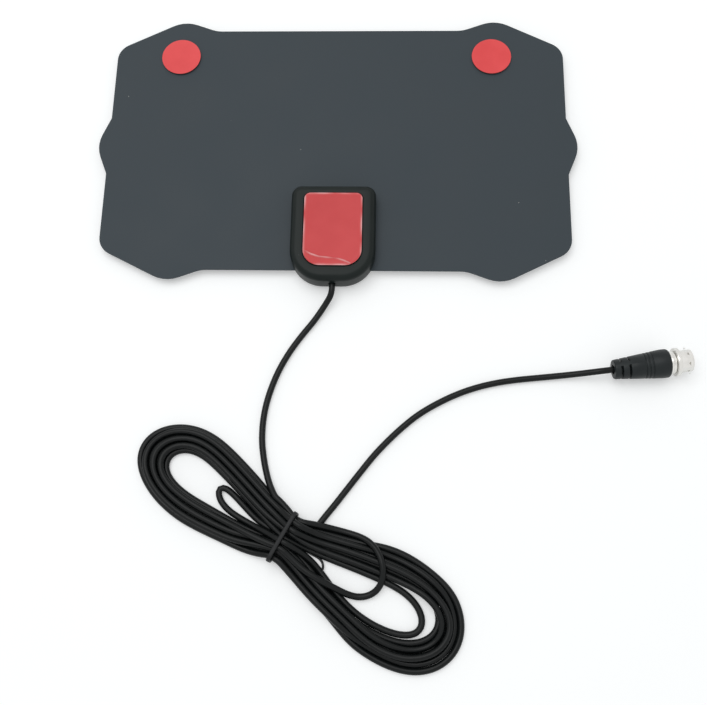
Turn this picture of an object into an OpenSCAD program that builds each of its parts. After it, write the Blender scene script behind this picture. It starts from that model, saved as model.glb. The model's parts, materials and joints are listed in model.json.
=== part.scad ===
// Flat indoor aerial, lying on its front, with its junction box, tied cable and screw-on plug.
// Millimetres. X runs along the sheet, Y from the cable's side to the far edge, Z up from the floor.
// The origin lies under the middle of the sheet and box together.

/* [Sheet] */
// Width of the sheet between its two side points
sheet_w = 240; // [230:1:260]
// Height of the sheet between its straight edges
sheet_h = 133; // [120:1:150]
// How far a side point stands out past the straight side
side_out = 5; // [3:0.5:6]
// Half the height of a side point where it leaves the straight side
side_half = 15.5; // [14:0.5:20]
// Radius at the end of a side point
tip_r = 16.6; // [8:0.2:18]
// Distance of a bump's peak from the straight side
bump_in = 34; // [29:0.5:39]
// Height of a bump's peak before it is rounded
bump_rise = 6.3; // [4:0.1:8]
// Distance of a bump's inner foot from its peak
bump_run = 17; // [13:0.5:25]
// Radius at the peak of a bump
bump_r = 15.8; // [8:0.2:18]
// Radius at the inner foot of a bump
foot_r = 15.8; // [8:0.2:18]
// How far a corner lies in from the straight edge
corner_cut = 10.8; // [8:0.2:14]
// Radius of a corner
corner_r = 9.5; // [5:0.5:12]
// Thickness of the front film
front_film_t = 0.25; // [0.2:0.05:0.5]
// Thickness of the back film, its pockets included
back_film_t = 0.35; // [0.3:0.05:0.6]
// Thickness of the foil elements
foil_t = 0.1; // [0.05:0.05:0.2]
// Distance of the foil from the sheet's sides and straight edges
foil_margin = 9; // [7:0.5:12]
// Width of the foil strip
foil_strip = 16; // [10:1:20]

/* [Junction box] */
// Width of the box
box_w = 41; // [38:0.5:46]
// Height of the box along the sheet
box_h = 49; // [46:0.5:56]
// How far the box stands out past the sheet's near edge
box_below = 7.5; // [6:0.5:9]
// Depth of the back shell above the sheet
back_shell_h = 8; // [7.5:0.1:11]
// Depth of the front shell below the sheet
front_shell_h = 4; // [3.5:0.1:6]
// Radius of the two corners on the sheet
box_top_r = 5; // [4.5:0.5:8]
// Radius of the two corners beside the cable
box_bottom_r = 16; // [12:0.5:18]
// Radius of the back shell's shoulder
shoulder_r = 3.2; // [2:0.1:3.8]
// Radius of the front shell's edge
front_edge_r = 3; // [2:0.1:3.4]
// Thickness of the side walls
wall = 1.6; // [1.2:0.1:2]
// Thickness of the front shell's floor
front_floor_t = 1.4; // [1:0.1:1.8]
// Thickness of the back shell's top under the pad
top_t = 1.5; // [1.2:0.1:2]
// Depth of the recess that the pad lies in
recess_d = 0.8; // [0.5:0.1:1.2]
// Height of the cable's axis above the sheet
cable_rise = 1.6; // [1.55:0.05:2]

/* [Sticky pads] */
// Margin between the box's sides and its pad
pad_side = 6.5; // [5:0.5:8]
// Margin between the box's cable end and its pad
pad_low = 7; // [6:0.5:9]
// Margin between the box's far end and its pad
pad_top = 4.7; // [4:0.1:6]
// Radius of the pad's two far corners
pad_top_r = 3; // [2:0.5:5]
// Radius of the pad's two corners beside the cable
pad_bottom_r = 8; // [6:0.5:10]
// Thickness of the box pad's foam
pad_foam_t = 1; // [0.8:0.1:2]
// Diameter of the round pads
disc_d = 20; // [16:0.5:24]
// Thickness of the round pads' foam
disc_foam_t = 0.8; // [0.5:0.1:1.5]
// Distance of the left pad from the sheet's left side
disc_left_in = 33.5; // [27:0.5:41]
// Distance of the right pad from the sheet's right side
disc_right_in = 36.5; // [27:0.5:41]
// Distance of both round pads from the far straight edge
disc_edge = 15.8; // [13:0.2:20]
// Thickness of the release liners
liner_t = 0.15; // [0.1:0.05:0.3]

/* [Balun] */
// Width of the circuit board
board_w = 16; // [14:0.1:16.2]
// Height of the circuit board
board_h = 26; // [24:0.5:30]
// Thickness of the circuit board
board_t = 1; // [0.8:0.1:1.2]
// Width of the two-hole core
core_w = 7; // [6:0.5:8]
// Length of the two-hole core
core_l = 5; // [4:0.5:6]
// Height of the two-hole core
core_h = 4.2; // [3.5:0.1:4.4]
// Radius of the core's two holes
core_hole_r = 0.9; // [0.8:0.05:1]
// Width of the winding's wire
wire_t = 0.35; // [0.25:0.05:0.4]
// Radius of the contact rivets
rivet_r = 0.8; // [0.6:0.05:1]

/* [Screws] */
// Radius of the screws' bodies
screw_r = 1; // [0.9:0.05:1.2]
// Radius of the screws' heads
screw_head_r = 1.9; // [1.7:0.05:2]
// Height of the screws' heads
screw_head_h = 1.2; // [0.9:0.1:1.3]
// Distance of the screws from the centreline
screw_x = 10.5; // [10.5:0.1:11]
// Distance of the near screws from the sheet's edge
screw_low = 5.5; // [5:0.1:7]
// Distance of the far screws from the sheet's edge
screw_far = 31.5; // [31:0.1:33]
// Radius of the bosses that the screws go through
boss_r = 2.3; // [2.2:0.05:2.4]

/* [Cable] */
// Diameter of the cable
cable_d = 3; // [2.6:0.1:3]
// Height of the tied bundle
bundle_h = 9; // [8:0.5:10]
// Width of the tie
tie_w = 1.6; // [1.2:0.1:3]
// Thickness of the tie
tie_t = 1.1; // [0.8:0.1:1.5]

/* [Plug] */
// Length of the moulded grip
grip_l = 25.5; // [22:0.5:28]
// Diameter of the grip beside the cable
grip_small_d = 9; // [8:0.2:10]
// Diameter of the grip beside the nut
grip_large_d = 13.3; // [13.2:0.1:15]
// Width of a slot in the grip
slot_w = 1.1; // [0.8:0.1:1.4]
// Width of the spine between the slots of each side
spine_w = 1.8; // [1.4:0.1:3]
// Lean of the spine from upright, in degrees
spine_lean = 14; // [0:1:20]
// Depth of the recess round the cable in the grip's small end
mouth_d = 1; // [0.6:0.1:1.4]
// Diameter of the plated collar
collar_d = 10.6; // [10:0.1:11]
// Length of the plated collar
collar_l = 2.4; // [1.5:0.1:3]
// Size of the nut across its flats
nut_af = 11.1; // [11:0.1:11.3]
// Length of the nut
nut_l = 7.8; // [7:0.1:9]
// Diameter of the nut's threaded hole
thread_d = 8.8; // [8.7:0.05:9.2]
// Diameter of the centre pin
pin_d = 1; // [0.8:0.1:1.2]

/* [Hidden] */

$fn = 64;
// Facets of the round corners that the shells are blended from
blend_fn = 32;
// Largest angle between two points of a rounded outline
arc_step = 10;
// A length past a face, so that a cut goes right through it
past = 1;

// Clearances
film_gap = 0.2;     // between the sheet's edge and the front shell's lip
pad_gap = 0.3;      // round the pad in its recess
hole_gap = 0.1;     // round a screw in a shell, board or film
thread_gap = 0.02;  // round a screw in its boss, and round a pressed-in pin or stem
rivet_gap = 0.02;   // round a rivet
cable_gap = 0.05;   // round the cable in the box and in the grip
turn_gap = 0.05;    // between the plug's neck and the nut that turns on it
play = 0.1;         // of the nut along the plug
tie_gap = 0.25;     // between the tie and the bundle

// Heights of the layers
film_z = front_shell_h;
foil_z = film_z + front_film_t;
sheet_top = foil_z + back_film_t;
box_top = sheet_top + back_shell_h;
recess_z = box_top - recess_d;
ceiling_z = recess_z - top_t;
board_top = sheet_top + board_t;
cable_z = sheet_top + cable_rise;
cable_r = cable_d / 2;

// Returns a vector of length one
function unit(v) = v / norm(v);
function xy(v) = [v[0], v[1]];
function largest_y(pts) = max([for (p = pts) p[1]]);

// Points of the arc that rounds the corner p between its neighbours a and b
function corner(a, p, b, r) =
    let (u = unit(a - p), w = unit(b - p), half = acos(u * w) / 2,
         centre = p + unit(u + w) * r / sin(half),
         from = p + u * r / tan(half) - centre,
         to = p + w * r / tan(half) - centre,
         start = atan2(from[1], from[0]),
         sweep = (atan2(to[1], to[0]) - start + 540) % 360 - 180,
         steps = max(1, ceil(abs(sweep) / arc_step)))
    [for (k = [0 : steps]) centre + r * [cos(start + sweep * k / steps), sin(start + sweep * k / steps)]];

// Outline of a polygon whose vertices are [x, y, radius]
function rounded(vs) =
    let (n = len(vs))
    [for (i = [0 : n - 1]) each corner(xy(vs[(i + n - 1) % n]), xy(vs[i]), xy(vs[(i + 1) % n]), vs[i][2])];

// A rounded rectangle whose two low corners and two high corners have a radius each
function slab_outline(x0, x1, y0, y1, low_r, high_r) =
    rounded([[x0, y0, low_r], [x1, y0, low_r], [x1, y1, high_r], [x0, y1, high_r]]);

// Where the line from a point that touches the circle round [cx, 0] crosses the X axis
function tangent_x(x, y, cx, r) =
    let (a = atan2(-y, cx - x) + asin(r / norm([cx - x, y]))) x - y * cos(a) / sin(a);

// Sheet: one quarter of the outline, mirrored twice about the sheet's middle
side_x = sheet_w / 2 - side_out;
bump_x = side_x - bump_in;
side_kink_r = 2;
half_h = sheet_h / 2;
quarter = [[tangent_x(side_x, side_half, sheet_w / 2 - tip_r, tip_r), 0, tip_r],
           [side_x, side_half, side_kink_r],
           [side_x, half_h - corner_cut, corner_r],
           [bump_x, half_h + bump_rise, bump_r],
           [bump_x - bump_run, half_h, foot_r]];
sheet_vertices = concat(
    quarter,
    [for (i = [4 : -1 : 0]) [-quarter[i][0], quarter[i][1], quarter[i][2]]],
    [for (i = [1 : 4]) [-quarter[i][0], -quarter[i][1], quarter[i][2]]],
    [for (i = [4 : -1 : 1]) [quarter[i][0], -quarter[i][1], quarter[i][2]]]);
sheet_outline = [for (p = rounded(sheet_vertices)) p + [0, half_h]];

// Box: its outline in from the outer wall by a distance
box_y0 = -box_below;
box_y1 = box_y0 + box_h;
function box_outline(in) =
    slab_outline(-box_w / 2 + in, box_w / 2 - in, box_y0 + in, box_y1 - in, box_bottom_r - in, box_top_r - in);

// Everything but the cord is drawn from the middle of the sheet's near edge, then moved to the origin
mid_y = (largest_y(sheet_outline) + box_y0) / 2;
module placed() { translate([0, -mid_y, 0]) children(); }

// Foil: a closed strip on each side, joined to its rivet by a short neck
rivet_x = 5.5;
rivet_y = 24;
foil_neck = 5;
foil_gap = 3.5;
foil_in = 22;
foil_corner_r = 6;
foil_hole_r = 3;
function foil_ring(in, r) =
    slab_outline(foil_in + in, side_x - foil_margin - in, foil_margin + in, sheet_h - foil_margin - in, r, r);

module foil_shape() {
    difference() {
        union() {
            polygon(foil_ring(0, foil_corner_r));
            translate([foil_gap, rivet_y - foil_neck / 2]) square([foil_in + past - foil_gap, foil_neck]);
        }
        polygon(foil_ring(foil_strip, foil_hole_r));
        translate([rivet_x, rivet_y]) circle(r = rivet_r + rivet_gap);
    }
}

// The films' holes for the screws and the rivets
module film_holes() {
    for (x = [-screw_x, screw_x], y = [screw_low, screw_far])
        translate([x, y]) circle(r = screw_r + hole_gap);
    for (x = [-rivet_x, rivet_x])
        translate([x, rivet_y]) circle(r = rivet_r + rivet_gap);
}

module film_sheet(z, t) {
    translate([0, 0, z]) linear_extrude(t) difference() {
        polygon(sheet_outline);
        film_holes();
    }
}

module front_film() {
    color("#3f474b") placed() film_sheet(film_z, front_film_t);
}

module back_film() {
    color("#42494e") placed() difference() {
        film_sheet(foil_z, back_film_t);
        for (side = [0, 1]) mirror([side, 0, 0])
            translate([0, 0, foil_z - past]) linear_extrude(foil_t + past) foil_shape();
    }
}

module foil() {
    translate([0, 0, foil_z]) linear_extrude(foil_t) foil_shape();
}

module foil_left() {
    color("#c9c9c4") placed() mirror([1, 0, 0]) foil();
}

module foil_right() {
    color("#c9c9c4") placed() foil();
}

// A slab of the box's outline with a rounded upper edge, blended from its four corners
function edge_profile(r, h, fillet) =
    concat([[0, 0], [r, 0]],
           [for (a = [0 : 15 : 90]) [r - fillet + fillet * cos(a), h - fillet + fillet * sin(a)]],
           [[0, h]]);

module soft_slab(h, fillet) {
    corners = [[box_w / 2 - box_bottom_r, box_y0 + box_bottom_r, box_bottom_r],
               [box_w / 2 - box_top_r, box_y1 - box_top_r, box_top_r]];
    hull() for (c = corners, side = [-1, 1])
        translate([side * c[0], c[1], 0]) rotate_extrude($fn = blend_fn) polygon(edge_profile(c[2], h, fillet));
}

module screw_places() {
    for (x = [-screw_x, screw_x], y = [screw_low, screw_far])
        translate([x, y, 0]) children();
}

module cable_hole() {
    translate([0, box_y0 - past, cable_z]) rotate([-90, 0, 0])
        cylinder(r = cable_r + cable_gap, h = wall + 2 * past);
}

// The half space on the far side of the lip, above a height
module beyond_lip(z) {
    translate([-box_w, -film_gap, z]) cube([2 * box_w, 2 * box_h, box_top]);
}

// Screws end this far above the bottom of the front shell
screw_tip_z = 2;
// The holes in the front shell go this much deeper
pilot_spare = 0.2;
counterbore_z = recess_z - screw_head_h - hole_gap;
counterbore_gap = 0.1;

// Tray under the sheet. Beside the cable its wall rises to the cable's axis
module front_shell() {
    color("#2f3534") placed() difference() {
        union() {
            difference() {
                translate([0, 0, cable_z]) mirror([0, 0, 1]) soft_slab(cable_z, front_edge_r);
                beyond_lip(film_z);
                translate([0, 0, front_floor_t]) linear_extrude(cable_z) polygon(box_outline(wall));
                cable_hole();
            }
            screw_places() translate([0, 0, front_floor_t - past / 2])
                cylinder(r = boss_r, h = film_z - front_floor_t + past / 2);
        }
        screw_places() translate([0, 0, screw_tip_z - pilot_spare])
            cylinder(r = screw_r + thread_gap, h = film_z);
    }
}

function pad_outline(out) =
    slab_outline(-box_w / 2 + pad_side - out, box_w / 2 - pad_side + out,
                 box_y0 + pad_low - out, box_y1 - pad_top + out, pad_bottom_r + out, pad_top_r + out);

// Cap over the sheet and board, with the pad's recess in its top and the screws' heads under the pad
module back_shell() {
    color("#2f3534") placed() difference() {
        union() {
            difference() {
                translate([0, 0, sheet_top]) soft_slab(back_shell_h, shoulder_r);
                translate([-box_w, box_y0 - past, sheet_top - past])
                    cube([2 * box_w, box_below + past - film_gap, cable_z - sheet_top + past]);
                translate([0, 0, sheet_top - past])
                    linear_extrude(ceiling_z - sheet_top + past) polygon(box_outline(wall));
                cable_hole();
            }
            screw_places() translate([0, 0, sheet_top])
                cylinder(r = boss_r, h = ceiling_z - sheet_top + past / 2);
        }
        translate([0, 0, recess_z]) linear_extrude(recess_d + past) polygon(pad_outline(pad_gap));
        screw_places() {
            translate([0, 0, sheet_top - past]) cylinder(r = screw_r + hole_gap, h = back_shell_h);
            translate([0, 0, counterbore_z])
                cylinder(r = screw_head_r + counterbore_gap, h = box_top - counterbore_z);
        }
    }
}

module housing_screws() {
    socket_w = screw_r;
    color("#8d9092") placed() screw_places() difference() {
        union() {
            translate([0, 0, screw_tip_z]) cylinder(r = screw_r, h = counterbore_z - screw_tip_z + past / 2);
            translate([0, 0, counterbore_z]) cylinder(r = screw_head_r, h = screw_head_h);
        }
        translate([0, 0, counterbore_z + screw_head_h / 2])
            cylinder(d = 2 * socket_w, h = screw_head_h, $fn = 6);
    }
}

// Board, on the back film, with the parts that it carries
board_y0 = 4;
rivet_head_r = 1.5;
rivet_head_t = 0.5;

module circuit_board() {
    color("#2e6b3c") placed() difference() {
        translate([-board_w / 2, board_y0, sheet_top]) cube([board_w, board_h, board_t]);
        for (x = [-rivet_x, rivet_x])
            translate([x, rivet_y, sheet_top - past]) cylinder(r = rivet_r + rivet_gap, h = board_t + 2 * past);
    }
}

module chip_capacitors() {
    chip = [2, 1.25, 0.8];
    chip_x = 5;
    color("#b59b72") placed() for (side = [-1, 1])
        translate([side * chip_x - chip[0] / 2, board_y0 + 5, board_top]) cube(chip);
}

core_y = 13;
core_hole_x = 1.6;
core_mid_z = board_top + core_h / 2;

module balun_core() {
    color("#3b3836") placed() difference() {
        translate([-core_w / 2, core_y, board_top]) cube([core_w, core_l, core_h]);
        for (side = [-1, 1])
            translate([side * core_hole_x, core_y - past, core_mid_z]) rotate([-90, 0, 0])
                cylinder(r = core_hole_r, h = core_l + 2 * past);
    }
}

// Three turns through both holes, and the two ends that go down to the board
module balun_winding() {
    turns = 3;
    rise = 0.45;
    reach = 0.8;
    leg_x = core_hole_x;
    color("#b4652f") placed() union() {
        for (k = [0 : turns - 1])
            translate([0, core_y - reach, core_mid_z + (k - (turns - 1) / 2) * rise - wire_t / 2])
                linear_extrude(wire_t) difference() {
                    translate([-leg_x - wire_t / 2, 0]) square([2 * leg_x + wire_t, core_l + 2 * reach]);
                    translate([-leg_x + wire_t / 2, wire_t]) square([2 * leg_x - wire_t, core_l + 2 * reach - 2 * wire_t]);
                }
        for (side = [-1, 1])
            translate([side * leg_x - wire_t / 2, core_y + core_l + reach - wire_t, board_top])
                cube([wire_t, wire_t, core_mid_z + rise - board_top]);
    }
}

// Rivets clamp the board, the foils and the films together, and join the foils to the board
module contact_rivets() {
    color("#b9a14e") placed() for (x = [-rivet_x, rivet_x]) translate([x, rivet_y, 0]) {
        translate([0, 0, film_z - rivet_head_t])
            cylinder(r = rivet_r, h = board_top - film_z + 2 * rivet_head_t);
        translate([0, 0, board_top]) cylinder(r = rivet_head_r, h = rivet_head_t);
        translate([0, 0, film_z - rivet_head_t]) cylinder(r = rivet_head_r, h = rivet_head_t);
    }
}

// Cable's end inside the box: jacket, stripped dielectric, and the conductor soldered to the board
jacket_end = 0.5;
dielectric_r = 0.9;
dielectric_end = 3;
conductor_r = 0.3;
solder_y = 5.6;
solder_r = 0.8;

module along_cable(from) {
    translate([0, from, cable_z]) rotate([-90, 0, 0]) children();
}

module cable_inner_end() {
    color("#1c1e1f") placed() along_cable(box_y0) cylinder(r = cable_r, h = jacket_end - box_y0);
}

module cable_dielectric() {
    color("#e8e6df") placed() along_cable(jacket_end) difference() {
        cylinder(r = dielectric_r, h = dielectric_end - jacket_end);
        translate([0, 0, -past]) cylinder(r = conductor_r + thread_gap, h = dielectric_end + 2 * past);
    }
}

module cable_conductor() {
    color("#b9743c") placed() union() {
        along_cable(jacket_end) cylinder(r = conductor_r, h = solder_y - jacket_end);
        translate([0, solder_y, board_top]) cylinder(r = solder_r, h = cable_z + conductor_r - board_top);
    }
}

module cable_ferrule() {
    ferrule_t = 0.7;
    ferrule_l = 3.2;
    color("#a9abac") placed() along_cable(box_y0 + wall + film_gap) difference() {
        cylinder(r = cable_r + cable_gap + ferrule_t, h = ferrule_l);
        translate([0, 0, -past]) cylinder(r = cable_r + cable_gap, h = ferrule_l + 2 * past);
    }
}

// Sticky pads
module pad_layer(z, t) {
    translate([0, 0, z]) linear_extrude(t) polygon(pad_outline(0));
}

module pad_foam() {
    color("#2b2d2e") placed() pad_layer(recess_z, pad_foam_t);
}

module pad_liner() {
    color("#cc5154") placed() pad_layer(recess_z + pad_foam_t, liner_t);
}

module disc_layer(x, z, t) {
    translate([x, sheet_h - disc_edge, z]) cylinder(d = disc_d, h = t);
}

module disc_foam_left() {
    color("#2b2d2e") placed() disc_layer(disc_left_in - side_x, sheet_top, disc_foam_t);
}

module disc_foam_right() {
    color("#2b2d2e") placed() disc_layer(side_x - disc_right_in, sheet_top, disc_foam_t);
}

module disc_liner_left() {
    color("#e35e60") placed() disc_layer(disc_left_in - side_x, sheet_top + disc_foam_t, liner_t);
}

module disc_liner_right() {
    color("#da5357") placed() disc_layer(side_x - disc_right_in, sheet_top + disc_foam_t, liner_t);
}

// Plug: its axis runs from the grip's small end, level, at the grip's own radius above the floor
plug_place = [130.2, -113.6, grip_large_d / 2];
plug_turn = 7.7;
plug_way = [cos(plug_turn), sin(plug_turn), 0];

module on_plug() {
    translate(plug_place) rotate([0, 0, plug_turn]) rotate([90, 0, 90]) children();
}

stem_r = 4;
stem_l = 8.5;
stem_start = grip_l - stem_l;
grip_bore_r = cable_r + cable_gap;
grip_edge = 1.3;
grip_taper_end = grip_l - 3.5;
function grip_r(s) = grip_small_d / 2 + (grip_large_d - grip_small_d) / 2 * s / grip_taper_end;
groove_pitch = 1.6;
groove_w = 0.7;
groove_d = 0.25;
groove_first = 13.5;
slot_places = [3.1, 6.7];
slot_core_r = 2.6;
mouth_r = 2.2;

function groove_points(s) = [[grip_r(s), s], [grip_r(s) - groove_d, s],
                             [grip_r(s + groove_w) - groove_d, s + groove_w], [grip_r(s + groove_w), s + groove_w]];

module plug_grip() {
    small_edge = 0.5;
    large_r = grip_large_d / 2;
    color("#26282a") on_plug() difference() {
        rotate_extrude() polygon(concat(
            [[grip_bore_r, mouth_d], [mouth_r, mouth_d], [mouth_r, 0]],
            [[grip_r(0) - small_edge, 0], [grip_r(small_edge), small_edge]],
            [for (k = [0 : 2]) each groove_points(groove_first + k * groove_pitch)],
            [[large_r, grip_taper_end]],
            [for (a = [0 : 15 : 90]) [large_r - grip_edge + grip_edge * cos(a), grip_l - grip_edge + grip_edge * sin(a)]],
            [[stem_r + thread_gap, grip_l], [stem_r + thread_gap, stem_start], [grip_bore_r, stem_start]]));
        rotate([0, 0, -spine_lean]) for (s = slot_places, side = [0, 1]) mirror([side, 0, 0]) difference() {
            translate([spine_w / 2, -grip_large_d, s - slot_w / 2]) cube([grip_large_d, 2 * grip_large_d, slot_w]);
            translate([0, 0, s - slot_w]) cylinder(r = slot_core_r, h = 2 * slot_w);
        }
    }
}

cable_end_gap = 1.5;
module plug_cable_end() {
    color("#1c1e1f") on_plug() cylinder(r = cable_r, h = stem_start - cable_end_gap);
}

collar_end = grip_l + collar_l;
neck_r = 3.6;
nut_start = collar_end + play;
nut_flange_t = 1.6;
flange_start = nut_start + nut_flange_t + 2 * play;
flange_t = 1;
flange_r = thread_d / 2 - 0.2;
insulator_r = 2.8;
insulator_end = flange_start + flange_t;
pin_root_r = pin_d / 2 + 0.6;
// How far the pin stays behind the nut's front
pin_back = 1;
pin_end = nut_start + nut_l - pin_back;

module plug_body() {
    collar_edge = 0.3;
    color("#b8b9b7") on_plug() rotate_extrude() polygon([
        [insulator_r + thread_gap, stem_start], [stem_r, stem_start], [stem_r, grip_l],
        [collar_d / 2, grip_l], [collar_d / 2, collar_end - collar_edge],
        [collar_d / 2 - collar_edge, collar_end], [neck_r, collar_end], [neck_r, flange_start],
        [flange_r, flange_start], [flange_r, insulator_end],
        [insulator_r + thread_gap, insulator_end]]);
}

module plug_insulator() {
    color("#eceae4") on_plug() translate([0, 0, stem_start]) difference() {
        cylinder(r = insulator_r, h = insulator_end - stem_start);
        translate([0, 0, -past]) cylinder(r = pin_root_r + thread_gap, h = grip_l);
    }
}

// The pin has a thicker solder barrel where the insulator holds it
module plug_pin() {
    pin_start = stem_start - cable_end_gap;
    color("#c08a4a") on_plug() translate([0, 0, pin_start]) {
        cylinder(r = pin_root_r, h = insulator_end - pin_start);
        cylinder(d = pin_d, h = pin_end - pin_start);
    }
}

// Nut: round rear flange, hexagon with turned-off corners, and a round front collar
module coupling_nut() {
    rear_r = 6.6;
    rear_l = 2;
    front_r = 5.2;
    front_l = 1.5;
    edge = 0.4;
    corner_r_max = nut_af / 2 / cos(30);
    hex_end = nut_l - front_l;
    turned = 0.6;
    color("#c9cac8") on_plug() translate([0, 0, nut_start]) difference() {
        union() {
            rotate_extrude() polygon([[0, 0], [rear_r - edge, 0], [rear_r, edge], [rear_r, rear_l - edge],
                                      [rear_r - edge, rear_l], [front_r, rear_l], [front_r, nut_l - edge],
                                      [front_r - edge, nut_l], [0, nut_l]]);
            intersection() {
                translate([0, 0, rear_l - edge]) cylinder(r = corner_r_max, h = hex_end - rear_l + edge, $fn = 6);
                rotate_extrude() polygon([[0, 0], [corner_r_max + past, 0], [corner_r_max + past, hex_end - turned - past],
                                          [corner_r_max, hex_end - turned],
                                          [corner_r_max - turned, hex_end], [0, hex_end]]);
            }
        }
        translate([0, 0, -past]) cylinder(r = neck_r + turn_gap, h = nut_l + 2 * past);
        translate([0, 0, nut_flange_t]) cylinder(d = thread_d, h = nut_l);
    }
}

// Cord. Its points are places of the cord's middle line
tube_sides = 8;
lead_points = [[-0.8, -78.6, 5.1], [-2.8, -81.8, 3.7], [-5.6, -86, 2.5], [-9, -90.8, 1.8], [-13.7, -96.9, 1.5],
               [-18.8, -104.4, 1.5], [-22.9, -111.8, 1.5], [-26, -119.1, 1.5], [-28.9, -128.7, 1.5],
               [-30.4, -138.2, 1.5], [-30.5, -147.6, 1.5], [-29.6, -154.5, 1.5], [-28.1, -161.4, 1.7],
               [-25.6, -168.8, 2.6], [-19.6, -176.6, 3.6]];
tail_points = [[-3.6, -185.9, 1.5], [-0.5, -181.9, 1.5], [3.8, -176.5, 1.5], [8.2, -170.7, 1.5], [14.8, -162, 1.5],
               [21.5, -153.5, 1.5], [28.3, -146.2, 1.5], [35.2, -139.7, 1.5], [42, -134.3, 1.5],
               [51.3, -128.7, 1.5], [60.6, -124.3, 1.5], [69.9, -121.1, 1.5], [79.2, -118.9, 1.5],
               [88.4, -117.5, 1.5], [97.7, -116.5, 1.6], [106.5, -115.7, 2.3], [115.5, -115, 4]];
lead_route = concat([[0, box_y0 - mid_y, cable_z], [0, box_y0 - mid_y - cable_d, cable_z]], lead_points);
tail_route = concat(tail_points, [plug_place - 2 * cable_d * plug_way, plug_place - cable_d * plug_way, plug_place]);

// Point at t between b and c on the smooth curve through a, b, c and d
function between(a, b, c, d, t) =
    b + t / 2 * (c - a) + t * t / 2 * (2 * a - 5 * b + 4 * c - d) + t * t * t / 2 * (3 * b - a - 3 * c + d);

// The route with one point more between each two of its own, and its straight ends kept straight
function smooth(route) =
    let (n = len(route))
    concat([for (i = [0 : n - 2]) each [route[i], i == 0 || i == n - 2 ? (route[i] + route[i + 1]) / 2 :
        between(route[i - 1], route[i], route[i + 1], route[i + 2], 0.5)]], [route[n - 1]]);

// Tube round a route: a ring of points for each of its points, and a flat face at each end
module tube(route, r) {
    n = len(route);
    rings = [for (i = [0 : n - 1])
        let (way = unit(route[min(i + 1, n - 1)] - route[max(i - 1, 0)]),
             across = unit(cross(way, [0, 0, 1])), up = cross(across, way))
        for (k = [0 : tube_sides - 1])
            route[i] + r * (cos(360 * k / tube_sides) * across + sin(360 * k / tube_sides) * up)];
    walls = [for (i = [0 : n - 2], k = [0 : tube_sides - 1])
        let (next = (k + 1) % tube_sides, low = i * tube_sides, high = low + tube_sides)
        [low + k, low + next, high + next, high + k]];
    first = [for (k = [tube_sides - 1 : -1 : 0]) k];
    last = [for (k = [0 : tube_sides - 1]) (n - 1) * tube_sides + k];
    polyhedron(points = rings, faces = concat([first], walls, [last]));
}

module cable_lead() {
    color("#1c1e1f") tube(smooth(lead_route), cable_r);
}

module cable_tail() {
    color("#1c1e1f") tube(smooth(tail_route), cable_r);
}

// Bundle: the outer shape of the turns, narrow where the tie holds them
bundle_points = [[-25.8, -172.4], [-39.3, -158.6], [-49, -150.2], [-60, -143.4], [-70.1, -141.2], [-79, -144.6],
                 [-84.8, -151], [-86.2, -159.5], [-83, -168.2], [-75.2, -176.7], [-65.4, -184.4], [-51.7, -190.2],
                 [-37.5, -194.6], [-23, -202], [-15, -208.6], [-6.2, -218], [2.6, -226.8], [11.6, -234.2],
                 [20.5, -240.4], [30, -244.8], [41, -246.8], [50, -244.9], [56.5, -240], [60.2, -231.6],
                 [59.8, -223.6], [54.6, -214], [46, -205.2], [37.2, -199.4], [26.6, -195.6], [15.6, -190.8],
                 [6, -188.6], [-4, -186.6], [-12, -182.9]];
bundle_outline = let (n = len(bundle_points))
    [for (i = [0 : n - 1]) each [bundle_points[i],
        between(bundle_points[(i + n - 1) % n], bundle_points[i], bundle_points[(i + 1) % n],
                bundle_points[(i + 2) % n], 0.5)]];
tie_place = [-17.3, -192.3];
tie_turn = -29;
// Width of the bundle where the tie holds it
waist = 22.6;

module on_tie() {
    translate([tie_place[0], tie_place[1], 0]) rotate([0, 0, tie_turn]) children();
}

module cable_bundle() {
    groove = tie_w + 2 * tie_gap;
    color("#1c1e1f") difference() {
        linear_extrude(bundle_h) polygon(bundle_outline);
        on_tie() difference() {
            translate([-groove / 2, -waist, -past]) cube([groove, 2 * waist, bundle_h + 2 * past]);
            translate([-groove, -waist / 2, tie_t + tie_gap]) cube([2 * groove, waist, bundle_h - tie_t - tie_gap]);
        }
    }
}

module twist_tie() {
    half = waist / 2 + tie_gap;
    top = bundle_h + tie_gap;
    round_r = 0.4;
    color("#17191a") on_tie() translate([-tie_w / 2, 0, 0]) rotate([90, 0, 90]) linear_extrude(tie_w) difference() {
        polygon(slab_outline(-half - tie_t, half + tie_t, 0, top + tie_t, round_r + tie_t, round_r + tie_t));
        polygon(slab_outline(-half, half, tie_t, top, round_r, round_r));
    }
}

front_film();
back_film();
foil_left();
foil_right();
front_shell();
back_shell();
housing_screws();
circuit_board();
chip_capacitors();
balun_core();
balun_winding();
contact_rivets();
cable_inner_end();
cable_dielectric();
cable_conductor();
cable_ferrule();
pad_foam();
pad_liner();
disc_foam_left();
disc_foam_right();
disc_liner_left();
disc_liner_right();
cable_lead();
cable_bundle();
cable_tail();
twist_tie();
plug_grip();
plug_cable_end();
plug_body();
plug_insulator();
plug_pin();
coupling_nut();
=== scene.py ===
"""Looks of a flat indoor aerial: its sheet, junction box, sticky pads, tied cable and screw-on plug.

Everything is in metres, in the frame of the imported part: X along the sheet, Y away from the cable, Z up.
"""

import json
import logging
import math
from dataclasses import dataclass
from enum import Enum

import bmesh
import bpy
import numpy as np
from mathutils import Matrix, Vector

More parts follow.
